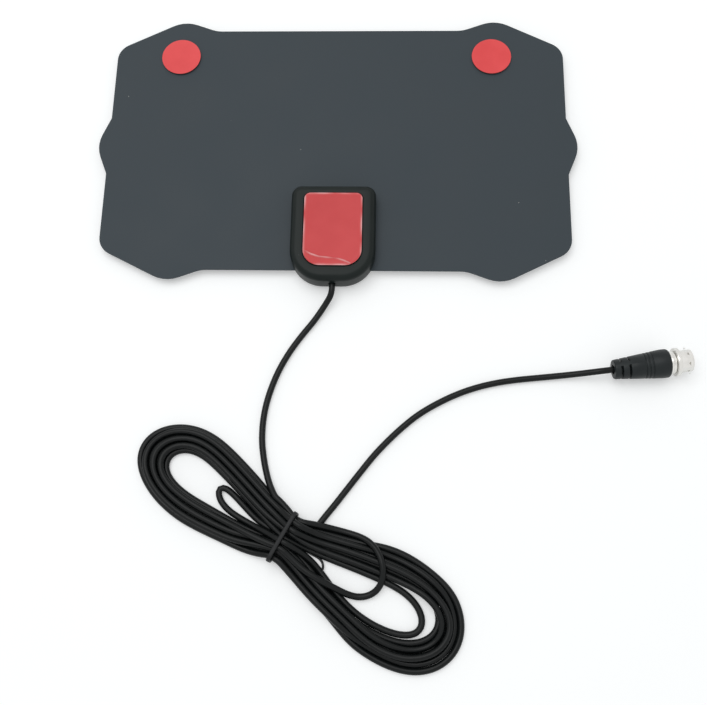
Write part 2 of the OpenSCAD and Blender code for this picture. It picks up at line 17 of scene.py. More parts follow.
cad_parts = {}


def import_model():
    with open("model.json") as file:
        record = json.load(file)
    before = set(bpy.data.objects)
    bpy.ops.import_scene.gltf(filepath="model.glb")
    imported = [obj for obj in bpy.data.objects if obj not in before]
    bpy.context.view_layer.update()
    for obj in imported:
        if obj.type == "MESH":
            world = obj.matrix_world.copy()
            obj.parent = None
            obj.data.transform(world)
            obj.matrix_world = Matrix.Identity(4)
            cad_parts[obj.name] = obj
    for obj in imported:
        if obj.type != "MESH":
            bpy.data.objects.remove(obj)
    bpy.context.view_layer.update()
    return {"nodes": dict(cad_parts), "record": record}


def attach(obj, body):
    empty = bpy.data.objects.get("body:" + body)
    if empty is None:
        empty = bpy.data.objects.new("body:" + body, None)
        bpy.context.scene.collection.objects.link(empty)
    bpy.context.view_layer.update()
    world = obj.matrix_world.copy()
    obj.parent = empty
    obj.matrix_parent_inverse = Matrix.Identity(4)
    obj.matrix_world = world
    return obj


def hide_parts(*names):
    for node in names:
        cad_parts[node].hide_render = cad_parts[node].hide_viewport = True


log = logging.getLogger("aerial")

MM = 0.001
FULL_TURN = 2 * math.pi
# Name of the mesh mask where highlights are painted into the colour
HIGHLIGHT_MASK = "painted_highlight"
WHITE = (1.0, 1.0, 1.0, 1.0)

Colour = tuple[float, float, float]
Point = tuple[float, float, float]
Flat = tuple[float, float]

# Where the tie and the plug lie, for the cable too
TIE_PLACE: Flat = (-0.0173, -0.1923)
TIE_TURN = math.radians(-29)
TIE_THICK = 0.0011
PLUG_PLACE: Point = (0.1302, -0.1136, 0.00665)
PLUG_TURN = math.radians(7.7)


class Body(Enum):
    """The two bodies of the part that pieces ride on."""

    AERIAL = "aerial"
    NUT = "nut"


class Cut(Enum):
    """How one closed mesh acts on another."""

    TAKE_AWAY = "DIFFERENCE"
    ADD = "UNION"
    KEEP_COMMON = "INTERSECT"


# Shader nodes


class Net:
    """Adds nodes to one shader tree, each with its settings and links in one call."""

    def __init__(self, tree: bpy.types.NodeTree) -> None:
        """Takes the tree to add to."""
        self.tree = tree

    def fill(self, node: bpy.types.Node, inputs: dict) -> None:
        """Sets each named input of a node to a value, or links it from a socket."""
        for name, value in inputs.items():
            if isinstance(value, bpy.types.NodeSocket):
                self.tree.links.new(value, node.inputs[name])
            else:
                node.inputs[name].default_value = value

    def add(self, kind: str, inputs: dict | None = None, **settings: object) -> bpy.types.Node:
        """Adds a node.

        Args:
            kind: Its type, without the words that all of them start with.
            inputs: A value or a socket to link from, for its inputs by name or number.
            settings: Its own settings by name.

        Returns:
            The node.
        """
        node = self.tree.nodes.new(f"ShaderNode{kind}")
        for name, value in settings.items():
            setattr(node, name, value)
        self.fill(node, inputs or {})
        return node

    def math(self, operation: str, first: object, second: object) -> bpy.types.NodeSocket:
        """Adds a sum of two values or sockets and returns its result."""
        return self.add("Math", {0: first, 1: second}, operation=operation).outputs[0]

    def mix(self, share: object, first: object, second: object) -> bpy.types.NodeSocket:
        """Adds a mix of two colours or sockets and returns its result."""
        return self.add("Mix", {"Factor": share, "A": first, "B": second}, data_type="RGBA").outputs["Result"]


class Effects:
    """Shader node groups that several finishes share, each built once."""

    def __init__(self) -> None:
        """Builds the groups."""
        self.mottle = self._mottle()
        self.grain = self._grain()
        self.dust = self._dust()

    @staticmethod
    def _group(name: str, inputs: dict[str, str], outputs: dict[str, str]) -> tuple:
        """Starts a group with its sockets.

        Args:
            name: The group's name.
            inputs: Socket type of each input by name.
            outputs: Socket type of each output by name.

        Returns:
            The group's net, the sockets that it is given and its output node.
        """
        tree = bpy.data.node_groups.new(name, "ShaderNodeTree")
        for way, sockets in (("INPUT", inputs), ("OUTPUT", outputs)):
            for label, kind in sockets.items():
                tree.interface.new_socket(name=label, in_out=way, socket_type=f"NodeSocket{kind}")
        return Net(tree), tree.nodes.new("NodeGroupInput").outputs, tree.nodes.new("NodeGroupOutput")

    @staticmethod
    def _texture(net: Net, kind: str, size: bpy.types.NodeSocket, **settings: float) -> bpy.types.Node:
        """Adds a texture whose blobs or cells are as large as a socket says, in metres."""
        place = net.add("TexCoord").outputs["Object"]
        return net.add(kind, {"Vector": place, "Scale": net.math("DIVIDE", 1.0, size), **settings})

    def _mottle(self) -> bpy.types.NodeTree:
        """Returns soft patches between two colours and between two roughnesses."""
        net, given, sink = self._group(
            "Mottle", {"Size": "Float", "First": "Color", "Second": "Color", "Smooth": "Float", "Rough": "Float"},
            {"Colour": "Color", "Roughness": "Float"})
        noise = self._texture(net, "TexNoise", given["Size"], Detail=4.0)
        spread = net.add("MapRange", {"Value": noise.outputs["Fac"], "From Min": 0.3, "From Max": 0.7})
        share = spread.outputs["Result"]
        rough = net.add("MapRange", {"Value": share, "To Min": given["Smooth"], "To Max": given["Rough"]})
        net.fill(sink, {"Colour": net.mix(share, given["First"], given["Second"]),
                        "Roughness": rough.outputs["Result"]})
        return net.tree

    def _grain(self) -> bpy.types.NodeTree:
        """Returns a fine height, as of moulded, rolled or plated skin."""
        net, given, sink = self._group("Grain", {"Size": "Float", "Depth": "Float"}, {"Height": "Float"})
        noise = self._texture(net, "TexNoise", given["Size"], Detail=3.0)
        net.fill(sink, {"Height": net.math("MULTIPLY", noise.outputs["Fac"], given["Depth"])})
        return net.tree

    def _dust(self) -> bpy.types.NodeTree:
        """Returns a few pale specks over a colour."""
        net, given, sink = self._group(
            "Dust", {"Size": "Float", "Speck": "Float", "Share": "Float", "Under": "Color", "Dust": "Color"},
            {"Colour": "Color"})
        cells = self._texture(net, "TexVoronoi", given["Size"])
        near = net.math("LESS_THAN", cells.outputs["Distance"], given["Speck"])
        split = net.add("SeparateColor", {"Color": cells.outputs["Color"]})
        chosen = net.math("LESS_THAN", split.outputs["Red"], given["Share"])
        net.fill(sink, {"Colour": net.mix(net.math("MULTIPLY", near, chosen), given["Under"], given["Dust"])})
        return net.tree


@dataclass(frozen=True)
class Finish:
    """One surface finish. Sizes are in metres, colours are linear."""

    slot: str
    first: Colour
    second: Colour
    patch: float
    smooth: float
    rough: float
    grain: float
    depth: float
    metallic: float = 0.0
    coat: float = 0.0
    coat_rough: float = 0.1
    specular: float = 0.5
    dust_share: float = 0.0
    dust_cell: float = 0.006
    speck: float = 0.035
    dust_colour: Colour = (0.35, 0.35, 0.34)
    # Pale colour painted as a highlight where the mesh's highlight mask is set
    highlight_colour: Colour | None = None

    def material(self, effects: Effects) -> bpy.types.Material:
        """Builds the material.

        Args:
            effects: The shared node groups.

        Returns:
            The material.
        """
        material = bpy.data.materials.new(self.slot)
        material.use_nodes = True
        net = Net(material.node_tree)
        mottle = net.add("Group", {"Size": self.patch, "First": (*self.first, 1), "Second": (*self.second, 1),
                                   "Smooth": self.smooth, "Rough": self.rough}, node_tree=effects.mottle)
        colour = mottle.outputs["Colour"]
        if self.dust_share > 0:
            dust = net.add("Group", {"Size": self.dust_cell, "Speck": self.speck, "Share": self.dust_share,
                                     "Under": colour, "Dust": (*self.dust_colour, 1)}, node_tree=effects.dust)
            colour = dust.outputs["Colour"]
        # Painted highlight: the colour is mixed towards a pale tone where the mesh's highlight mask is set
        if self.highlight_colour:
            painted_highlight = net.add("Attribute", attribute_name=HIGHLIGHT_MASK)
            colour = net.mix(painted_highlight.outputs["Fac"], colour, (*self.highlight_colour, 1))
        grain = net.add("Group", {"Size": self.grain, "Depth": self.depth}, node_tree=effects.grain)
        bump = net.add("Bump", {"Distance": 1.0, "Height": grain.outputs["Height"]})
        net.fill(net.tree.nodes["Principled BSDF"], {
            "Base Color": colour, "Roughness": mottle.outputs["Roughness"], "Normal": bump.outputs["Normal"],
            "Metallic": self.metallic, "Coat Weight": self.coat, "Coat Roughness": self.coat_rough,
            "Specular IOR Level": self.specular})
        return material


FINISHES = (
    Finish("film", (0.023, 0.034, 0.042), (0.029, 0.041, 0.050), 0.028, 0.52, 0.62, 0.0006, 0.000012, specular=0.35,
           dust_share=0.10),
    Finish("foil", (0.80, 0.80, 0.79), (0.74, 0.74, 0.73), 0.006, 0.25, 0.40, 0.0010, 0.00002, metallic=1.0),
    Finish("shell", (0.0068, 0.0108, 0.0100), (0.0098, 0.0142, 0.0132), 0.012, 0.34, 0.42, 0.0005, 0.000008,
           specular=0.16, dust_share=0.10, dust_cell=0.004),
    Finish("screw_steel", (0.55, 0.55, 0.56), (0.47, 0.47, 0.48), 0.001, 0.25, 0.40, 0.0002, 0.000005, metallic=1.0),
    Finish("board", (0.03, 0.15, 0.05), (0.02, 0.11, 0.04), 0.004, 0.35, 0.50, 0.0006, 0.00001, coat=0.3),
    Finish("ceramic", (0.47, 0.33, 0.17), (0.40, 0.28, 0.14), 0.001, 0.45, 0.60, 0.0002, 0.000004),
    Finish("ferrite", (0.045, 0.042, 0.040), (0.060, 0.056, 0.052), 0.001, 0.50, 0.70, 0.0002, 0.00001),
    Finish("copper", (0.72, 0.30, 0.12), (0.62, 0.24, 0.09), 0.001, 0.22, 0.35, 0.0002, 0.000004, metallic=1.0),
    Finish("rivet_brass", (0.62, 0.50, 0.22), (0.52, 0.41, 0.18), 0.001, 0.25, 0.40, 0.0002, 0.000004, metallic=1.0),
    Finish("ferrule_metal", (0.60, 0.60, 0.60), (0.50, 0.50, 0.50), 0.002, 0.25, 0.45, 0.0003, 0.000006, metallic=1.0),
    Finish("jacket", (0.0040, 0.0052, 0.0054), (0.0062, 0.0074, 0.0076), 0.010, 0.24, 0.32, 0.0004, 0.000005,
           specular=0.18),
    Finish("dielectric", (0.82, 0.81, 0.77), (0.76, 0.75, 0.71), 0.002, 0.40, 0.55, 0.0004, 0.000005),
    Finish("foam", (0.020, 0.021, 0.022), (0.032, 0.033, 0.034), 0.001, 0.75, 0.95, 0.0003, 0.00005),
    # The pad liner's pale pink is a painted highlight on its crease and along its edges
    Finish("pad_red", (0.575, 0.034, 0.038), (0.630, 0.052, 0.056), 0.020, 0.16, 0.24, 0.0030, 0.000010, coat=0.05,
           coat_rough=0.05, specular=0.2, highlight_colour=(0.95, 0.62, 0.62)),
    Finish("disc_red", (0.76, 0.064, 0.068), (0.83, 0.084, 0.088), 0.014, 0.36, 0.46, 0.0024, 0.000012, specular=0.3),
    Finish("tie", (0.012, 0.013, 0.014), (0.017, 0.018, 0.019), 0.003, 0.40, 0.50, 0.0003, 0.000008, specular=0.2),
    Finish("grip", (0.0105, 0.0140, 0.0152), (0.0145, 0.0188, 0.0200), 0.006, 0.36, 0.46, 0.0004, 0.000012,
           specular=0.22),
    Finish("nickel", (0.76, 0.75, 0.72), (0.68, 0.67, 0.64), 0.003, 0.16, 0.26, 0.0006, 0.000004, metallic=1.0),
    Finish("pin_metal", (0.60, 0.36, 0.16), (0.52, 0.30, 0.13), 0.002, 0.20, 0.32, 0.0003, 0.000004, metallic=1.0),
)


# Objects and meshes


def as_object(name: str, data: bpy.types.ID) -> bpy.types.Object:
    """Puts a mesh, curve, lamp or camera into the scene as an object."""
    thing = bpy.data.objects.new(name, data)
    bpy.context.scene.collection.objects.link(thing)
    return thing


def piece(name: str, bm: bmesh.types.BMesh) -> bpy.types.Object:
    """Makes an object at the origin from a bmesh, which is freed."""
    mesh = bpy.data.meshes.new(name)
    bm.to_mesh(mesh)
    bm.free()
    return as_object(name, mesh)


def shift(bm: bmesh.types.BMesh, vec: Point) -> bmesh.types.BMesh:
    """Moves a whole mesh and returns it."""
    bmesh.ops.translate(bm, vec=vec, verts=list(bm.verts))
    return bm


def turn_about(bm: bmesh.types.BMesh, axis: str, angle: float) -> bmesh.types.BMesh:
    """Turns a whole mesh about an axis through the origin and returns it."""
    bmesh.ops.rotate(bm, cent=(0, 0, 0), matrix=Matrix.Rotation(angle, 3, axis), verts=list(bm.verts))
    return bm


def cuboid(sides: Point) -> bmesh.types.BMesh:
    """Makes a closed block round the origin."""
    bm = bmesh.new()
    bmesh.ops.create_cube(bm, size=1)
    bmesh.ops.scale(bm, vec=sides, verts=list(bm.verts))
    return bm


def face_out(bm: bmesh.types.BMesh) -> None:
    """Makes the faces of a closed mesh look outwards."""
    bmesh.ops.recalc_face_normals(bm, faces=list(bm.faces))


def round_off(bm: bmesh.types.BMesh, geom: list, radius: float, steps: int, what: str = "EDGES",
              clamp: bool = False) -> None:
    """Rounds edges or corners.

    Args:
        bm: The mesh.
        geom: Its edges or corners to round.
        radius: How far the rounding reaches.
        steps: Its facets.
        what: Whether edges or corners are rounded.
        clamp: Whether it stops where two roundings would meet.
    """
    bmesh.ops.bevel(bm, geom=geom, offset=radius, segments=steps, profile=0.5, affect=what, clamp_overlap=clamp,
                    material=-1)


@dataclass
class Workshop:
    """What every sub-assembly needs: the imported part, its materials, and how a piece is finished."""

    nodes: dict[str, bpy.types.Object]
    materials: dict[str, bpy.types.Material]
    subparts: list[dict]
    sharp: float = math.radians(32)

    def bake(self, thing: bpy.types.Object) -> bpy.types.Object:
        """Applies the modifiers of an object to its mesh.

        Args:
            thing: The object.

        Returns:
            The same object.
        """
        bpy.context.view_layer.update()
        ready = thing.evaluated_get(bpy.context.evaluated_depsgraph_get())
        mesh = bpy.data.meshes.new_from_object(ready)
        thing.modifiers.clear()
        thing.data = mesh
        return thing

    def cut(self, thing: bpy.types.Object, tool: bpy.types.Object | bmesh.types.BMesh, how: Cut) -> bpy.types.Object:
        """Cuts one closed mesh with another, which is then removed.

        Args:
            thing: What is cut.
            tool: What cuts it.
            how: The kind of cut.

        Returns:
            The cut object.
        """
        cutter = piece("tool", tool) if isinstance(tool, bmesh.types.BMesh) else tool
        modifier = thing.modifiers.new("cut", "BOOLEAN")
        modifier.object = cutter
        modifier.operation = how.value
        modifier.solver = "EXACT"
        self.bake(thing)
        bpy.data.objects.remove(cutter)
        return thing

    def wire(self, name: str, points: np.ndarray, radius: float, kind: str, fine: int) -> bpy.types.Object:
        """Makes a round wire along points.

        Args:
            name: The object's name.
            points: The points.
            radius: Half its thickness.
            kind: The kind of spline.
            fine: How finely it is rounded.

        Returns:
            The curve.
        """
        curve = bpy.data.curves.new(name, "CURVE")
        curve.dimensions = "3D"
        curve.bevel_depth = radius
        curve.bevel_resolution = fine
        curve.use_fill_caps = True
        spline = curve.splines.new(kind)
        spline.points.add(len(points) - 1)
        spline.points.foreach_set("co", np.hstack([points, np.ones((len(points), 1))]).ravel())
        spline.use_smooth = True
        if kind == "NURBS":
            spline.order_u = 4
            spline.use_endpoint_u = True
            spline.resolution_u = 8
        return as_object(name, curve)

    def dress(self, thing: bpy.types.Object, slot: str, body: Body, *stands_for: str) -> bpy.types.Object:
        """Gives a piece its finish, smooth shading and body.

        Args:
            thing: The piece.
            slot: The material slot of the record.
            body: The body that it rides on.
            stands_for: The CAD nodes that it replaces.

        Returns:
            The piece.
        """
        thing.data.materials.clear()
        thing.data.materials.append(self.materials[slot])
        if thing.type == "MESH":
            thing.data.shade_smooth()
            thing.data.set_sharp_from_angle(angle=self.sharp)
        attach(thing, body.value)
        if stands_for:
            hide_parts(*stands_for)
        log.info("%s: %d faces", thing.name, len(thing.data.polygons) if thing.type == "MESH" else 0)
        return thing

    def repaint(self) -> None:
        """Gives every node that stays its own material."""
        for part in self.subparts:
            node = self.nodes[part["node"]]
            node.data.materials.clear()
            node.data.materials.append(self.materials[part["material_slot"]])


# Camera and light


@dataclass
class Studio:
    """Camera at the photograph's angle, a pale floor and soft light."""

    place: Point = (0.02602, -0.21864, 0.40518)
    right: Point = (0.99929, 0.01961, -0.03226)
    up: Point = (-0.01015, 0.96258, 0.2708)
    forward: Point = (-0.03636, 0.27028, -0.96209)
    focal_px: float = 889.75
    photo_width_px: int = 707
    film_width: float = 36.0
    floor_size: float = 8.0
    sky: float = 0.55
    lamp_power: float = 8.7
    lamp_size: float = 1.2
    lamp_place: Point = (-0.25, 0.25, 1.4)
    lamp_aim: Point = (0.0, -0.08, 0.0)
    floor_colour: Colour = (0.79, 0.81, 0.815)
    floor_lift: float = 0.32

    def camera(self) -> None:
        """Places the camera."""
        data = bpy.data.cameras.new("camera")
        data.sensor_fit = "HORIZONTAL"
        data.sensor_width = self.film_width
        data.lens = self.focal_px * self.film_width / self.photo_width_px
        data.clip_start = 0.01
        camera = as_object("camera", data)
        turn = Matrix((self.right, self.up, [-x for x in self.forward])).transposed()
        camera.matrix_world = Matrix.Translation(self.place) @ turn.to_4x4()
        bpy.context.scene.camera = camera

    @staticmethod
    def _seen(net: Net) -> bpy.types.NodeSocket:
        """Adds what is 1 for rays from the camera, off a shine or through glass, and otherwise 0."""
        path = net.add("LightPath").outputs
        direct = net.math("MAXIMUM", path["Is Camera Ray"], path["Is Glossy Ray"])
        return net.math("MAXIMUM", direct, path["Is Transmission Ray"])

    def floor(self) -> None:
        """Lays the floor. Seen straight or in a reflection it is lifted to white, and it keeps its shadows."""
        bm = bmesh.new()
        bmesh.ops.create_grid(bm, x_segments=1, y_segments=1, size=self.floor_size / 2)
        floor = piece("floor", bm)
        material = bpy.data.materials.new("floor")
        material.use_nodes = True
        net = Net(material.node_tree)
        net.fill(net.tree.nodes["Principled BSDF"], {
            "Base Color": (*self.floor_colour, 1), "Roughness": 0.9, "Specular IOR Level": 0.0,
            "Emission Color": WHITE, "Emission Strength": net.math("MULTIPLY", self._seen(net), self.floor_lift)})
        floor.data.materials.append(material)

    def light(self) -> None:
        """Sets the sky's plain level, white where the camera sees it, and one large soft lamp."""
        world = bpy.data.worlds.new("world")
        bpy.context.scene.world = world
        world.use_nodes = True
        net = Net(world.node_tree)
        plain = net.tree.nodes["Background"]
        net.fill(plain, {"Strength": self.sky, "Color": WHITE})
        white = net.add("Background", {"Strength": 1.0, "Color": WHITE})
        mix = net.add("MixShader", {0: self._seen(net), 1: plain.outputs[0], 2: white.outputs[0]})
        net.fill(net.tree.nodes["World Output"], {"Surface": mix.outputs[0]})
        lamp = bpy.data.lights.new("softbox", "AREA")
        lamp.shape = "SQUARE"
        lamp.size = self.lamp_size
        lamp.energy = self.lamp_power
        holder = as_object("softbox", lamp)
        down = (Vector(self.lamp_aim) - Vector(self.lamp_place)).to_track_quat("-Z", "Y")
        holder.matrix_world = Matrix.Translation(self.lamp_place) @ down.to_matrix().to_4x4()

    def build(self) -> None:
        """Sets up the whole studio."""
        self.camera()
        self.floor()
        self.light()
        bpy.context.scene.view_settings.view_transform = "Standard"


# Cable


@dataclass
class Cable:
    """The cable: out of the box, eight tied turns, and on to the plug, as one smooth line."""

    thick: float = 0.003
    declared: float = 2.86
    lead: tuple[Point, ...] = (
        (0.0, -0.072695, 0.0062), (0.0, -0.075695, 0.0062), (-0.0008, -0.0786, 0.0051), (-0.0028, -0.0818, 0.0037),
        (-0.0056, -0.086, 0.0025), (-0.009, -0.0908, 0.0018), (-0.0137, -0.0969, 0.0015), (-0.0188, -0.1044, 0.0015),
        (-0.0229, -0.1118, 0.0015), (-0.026, -0.1191, 0.0015), (-0.0289, -0.1287, 0.0015), (-0.0304, -0.1382, 0.0015),
        (-0.0305, -0.1476, 0.0015), (-0.0296, -0.1545, 0.0015), (-0.0281, -0.1614, 0.0017), (-0.0256, -0.1688, 0.0026),
        (-0.0213, -0.176, 0.0046))
    tail: tuple[Point, ...] = (
        (-0.0036, -0.1859, 0.0015), (-0.0005, -0.1819, 0.0015), (0.0038, -0.1765, 0.0015), (0.0082, -0.1707, 0.0015),
        (0.0148, -0.162, 0.0015), (0.0215, -0.1535, 0.0015), (0.0283, -0.1462, 0.0015), (0.0352, -0.1397, 0.0015),
        (0.042, -0.1343, 0.0015), (0.0513, -0.1287, 0.0015), (0.0606, -0.1243, 0.0015), (0.0699, -0.1211, 0.0015),
        (0.0792, -0.1189, 0.0015), (0.0884, -0.1175, 0.0015), (0.0977, -0.1165, 0.0016), (0.1065, -0.1157, 0.0023),
        (0.1155, -0.115, 0.004))
    # Lobes of the turns, in the tie's own frame: along the bundle and across it
    right_inner: tuple[Flat, ...] = (
        (0.009, 0.0024), (0.02, 0.004), (0.032, 0.006), (0.048, 0.0084), (0.06, 0.0096), (0.07, 0.0079),
        (0.076, 0.002), (0.0757, -0.005), (0.068, -0.0114), (0.054, -0.0144), (0.038, -0.0134), (0.024, -0.0098))
    right_outer: tuple[Flat, ...] = (
        (0.009, 0.0094), (0.02, 0.0122), (0.032, 0.0152), (0.046, 0.0182), (0.06, 0.0186), (0.074, 0.0144),
        (0.085, 0.0045), (0.0856, -0.008), (0.077, -0.0186), (0.06, -0.0226), (0.042, -0.0204), (0.024, -0.0147))
    left_inner: tuple[Flat, ...] = (
        (-0.02, -0.0068), (-0.03, -0.0064), (-0.04, -0.0064), (-0.05, -0.0066), (-0.0605, -0.005), (-0.0666, -0.0006),
        (-0.0676, 0.0062), (-0.0616, 0.0126), (-0.051, 0.0142), (-0.0394, 0.011), (-0.024, 0.0069))
    left_outer: tuple[Flat, ...] = (
        (-0.02, -0.012), (-0.032, -0.0142), (-0.045, -0.0156), (-0.058, -0.0136), (-0.07, -0.0084), (-0.0782, -0.001),
        (-0.0784, 0.008), (-0.0692, 0.0185), (-0.057, 0.0216), (-0.042, 0.0194), (-0.025, 0.0142))
    # The first turn's short right lobe lies on top, the last turn's right lobe lies loose inside the others, and
    # its left lobe is the small one
    short_right: tuple[Flat, ...] = (
        (0.0095, 0.011), (0.0188, 0.0142), (0.026, 0.0164), (0.033, 0.0168), (0.04, 0.0146), (0.0453, 0.0099),
        (0.0469, 0.0036), (0.0445, -0.003), (0.0388, -0.0072), (0.031, -0.0088), (0.022, -0.0086), (0.012, -0.0078))
    loose_right: tuple[Flat, ...] = (
        (0.009, 0.0017), (0.02, 0.0029), (0.032, 0.0049), (0.048, 0.0066), (0.06, 0.0061), (0.0665, 0.0036),
        (0.0706, -0.0004), (0.072, -0.0043), (0.0693, -0.008), (0.062, -0.0108), (0.05, -0.0126), (0.037, -0.0116),
        (0.023, -0.0076), (0.01, -0.003))
    short_left: tuple[Flat, ...] = (
        (-0.010, -0.0042), (-0.020, -0.0044), (-0.029, -0.0032), (-0.0355, -0.0010), (-0.0395, 0.0018),
        (-0.0408, 0.0046), (-0.0394, 0.0074), (-0.0360, 0.0080), (-0.0316, 0.0064), (-0.026, 0.0042),
        (-0.019, 0.0024), (-0.010, 0.0008))
    # Each turn's lobe: its share of the way from the inner loop to the outer one at its start and at its end, and
    # its height away from the tie
    right_lobes: tuple[Point, ...] = (
        (0.0, 0.0, 0.0085), (0.15, 0.4, 0.0046), (0.48, 0.6, 0.0046), (0.8, 0.85, 0.0044),
        (1, 0.98, 0.0015), (0.66, 0.56, 0.0015), (0.33, 0.2, 0.0015), (0.0, 0.0, 0.0015))
    left_lobes: tuple[Point, ...] = (
        (0.25, 0.3, 0.0046), (0.45, 0.6, 0.0046), (0.75, 0.85, 0.0046), (1, 1, 0.0015),
        (0.7, 0.66, 0.0015), (0.36, 0.34, 0.0015), (0.04, 0.02, 0.0015), (0.0, 0.0, 0.0015))
    # Places of the strands under the tie: across the bundle, then up from the floor
    upper_places: tuple[Flat, ...] = (
        (0.0096, 0.0052), (0.0032, 0.0052), (0.0048, 0.0078), (0.0080, 0.0078), (0.0080, 0.0026),
        (0.0064, 0.0052), (0.0048, 0.0026), (0.0, 0.0052), (0.0016, 0.0026))
    lower_places: tuple[Flat, ...] = (
        (-0.0048, 0.0078), (-0.0032, 0.0052), (-0.0064, 0.0052), (-0.0096, 0.0052), (-0.0080, 0.0026),
        (-0.0048, 0.0026), (-0.0016, 0.0026), (-0.0016, 0.0078))
    last_bend: tuple[Point, ...] = (
        (0.005, 0.0026, 0.0016), (0.0074, 0.0074, 0.0015))
    over_tail: float = 0.002
    top_layer: float = 0.007
    long_reach: float = 0.034
    short_reach: float = 0.025
    step: float = 0.003
    over_top: float = 0.0003
    # How the turns settle: lengths in diameters, shares of the way or of the rounds, and two values as before and
    # after a share of the rounds
    rounds: int = 360
    calm: int = 6
    look_again: int = 8
    tied_reach: float = 1.2
    near: float = 2.6
    apart: int = 4
    hold: Flat = (0.05, 0.015)
    hold_until: float = 0.6
    stiff: Flat = (0.8, 0.4)
    stiff_until: float = 0.75
    sink: float = 0.012
    tie_hold: float = 0.2

    @property
    def radius(self) -> float:
        """Half the cable's thickness."""
        return self.thick / 2

    @property
    def plug_way(self) -> np.ndarray:
        """The plug's axis, from the grip to the nut."""
        return np.array([math.cos(PLUG_TURN), math.sin(PLUG_TURN), 0.0])

    def _along(self) -> np.ndarray:
        """Returns the bundle's long direction, level."""
        return np.array([math.cos(TIE_TURN), math.sin(TIE_TURN)])

    def _across(self) -> np.ndarray:
        """Returns the direction across the bundle, level."""
        return np.array([-math.sin(TIE_TURN), math.cos(TIE_TURN)])

    def _spot(self, flat: Flat, height: float) -> list[float]:
        """Returns the point at a place along and across the bundle, and at a height above the floor."""
        spot = np.array(TIE_PLACE) + flat[0] * self._along() + flat[1] * self._across()
        return [float(spot[0]), float(spot[1]), height]

    def _lobe(self, inner: tuple[Flat, ...], outer: tuple[Flat, ...], lobe: Point, ends: Flat, reach: float) -> list:
        """Lays half a turn between the inner loop and the outer one.

        Args:
            inner: The inner loop.
            outer: The outer loop.
            lobe: Its share at the start and at the end, 0 on the inner loop and 1 on the outer, and its height.
            ends: Its heights under the tie, at its start and its end.
            reach: How far from the tie it has come down to its own height.

        Returns:
            Its points.
        """
        start, end, height = lobe
        rows = []
        for k, (a, b) in enumerate(zip(inner, outer)):
            share = start + (end - start) * k / (len(inner) - 1)
            spot = ((1 - share) * a[0] + share * b[0], (1 - share) * a[1] + share * b[1])
            tied = ends[0] if k < len(inner) / 2 else ends[1]
            rows.append(self._spot(spot, height + (tied - height) * max(0.0, 1 - abs(spot[0]) / reach)))
        return rows

    def route(self) -> tuple[np.ndarray, int, int]:
        """Lays the whole cable: lead, turns and tail.

        Returns:
            Its points, how many belong to the lead, and where the tail starts.
        """
        points = [list(p) for p in self.lead]
        turns = len(self.right_lobes)
        for k in range(turns):
            above, below, after = self.upper_places[k], self.lower_places[k], self.upper_places[k + 1]
            points.append(self._spot((0.0, above[0]), above[1]))
            first, last = k == 0, k == turns - 1
            right = self.short_right if first else self.loose_right
            loops = (right, right) if first or last else (self.right_inner, self.right_outer)
            lobe = self._lobe(*loops, self.right_lobes[k], (above[1], below[1]),
                              self.short_reach if first or last else self.long_reach)
            if not first and not last:
                lobe[0][2] = above[1] + (self.over_tail if above[1] < self.top_layer else self.over_top)
            points += lobe
            points.append(self._spot((0.0, below[0]), below[1]))
            loops = (self.short_left, self.short_left) if last else (self.left_inner, self.left_outer)
            points += self._lobe(*loops, self.left_lobes[k], (below[1], after[1]),
                                 self.short_reach if last else self.long_reach)
        points.append(self._spot((0.0, self.upper_places[turns][0]), self.upper_places[turns][1]))
        points += [self._spot((a, b), z) for a, b, z in self.last_bend]
        tail_start = len(points)
        points += [list(p) for p in self.tail]
        end = np.array(PLUG_PLACE)
        points += [list(end - k * self.thick * self.plug_way) for k in (2, 1, 0)]
        return np.array(points, float), len(self.lead), tail_start

    @staticmethod
    def smooth_line(points: np.ndarray, step: float) -> np.ndarray:
        """Draws the smooth curve through points, with points of its own a step apart.

        Args:
            points: The chosen points.
            step: The distance between the new ones.

        Returns:
            The new points.
        """
        padded = np.vstack([2 * points[0] - points[1], points, 2 * points[-1] - points[-2]])
        rows = []
        for i in range(len(points) - 1):
            p0, p1, p2, p3 = padded[i:i + 4]
            knots = np.cumsum([0.0] + [math.sqrt(max(np.linalg.norm(b - a), 1e-9))
                                       for a, b in ((p0, p1), (p1, p2), (p2, p3))])
            t0, t1, t2, t3 = knots
            count = max(2, math.ceil(np.linalg.norm(p2 - p1) / (step / 6)))
            for t in np.linspace(t1, t2, count, endpoint=False):
                a1 = ((t1 - t) * p0 + (t - t0) * p1) / (t1 - t0)
                a2 = ((t2 - t) * p1 + (t - t1) * p2) / (t2 - t1)
                a3 = ((t3 - t) * p2 + (t - t2) * p3) / (t3 - t2)
                b1 = ((t2 - t) * a1 + (t - t0) * a2) / (t2 - t0)
                b2 = ((t3 - t) * a2 + (t - t1) * a3) / (t3 - t1)
                rows.append(((t2 - t) * b1 + (t - t1) * b2) / (t2 - t1))
        rows.append(points[-1])
        dense = np.array(rows)
        reach = np.concatenate([[0.0], np.cumsum(np.linalg.norm(np.diff(dense, axis=0), axis=1))])
        want = np.linspace(0.0, reach[-1], int(round(reach[-1] / step)) + 1)
        return np.stack([np.interp(want, reach, dense[:, k]) for k in range(3)], axis=1)

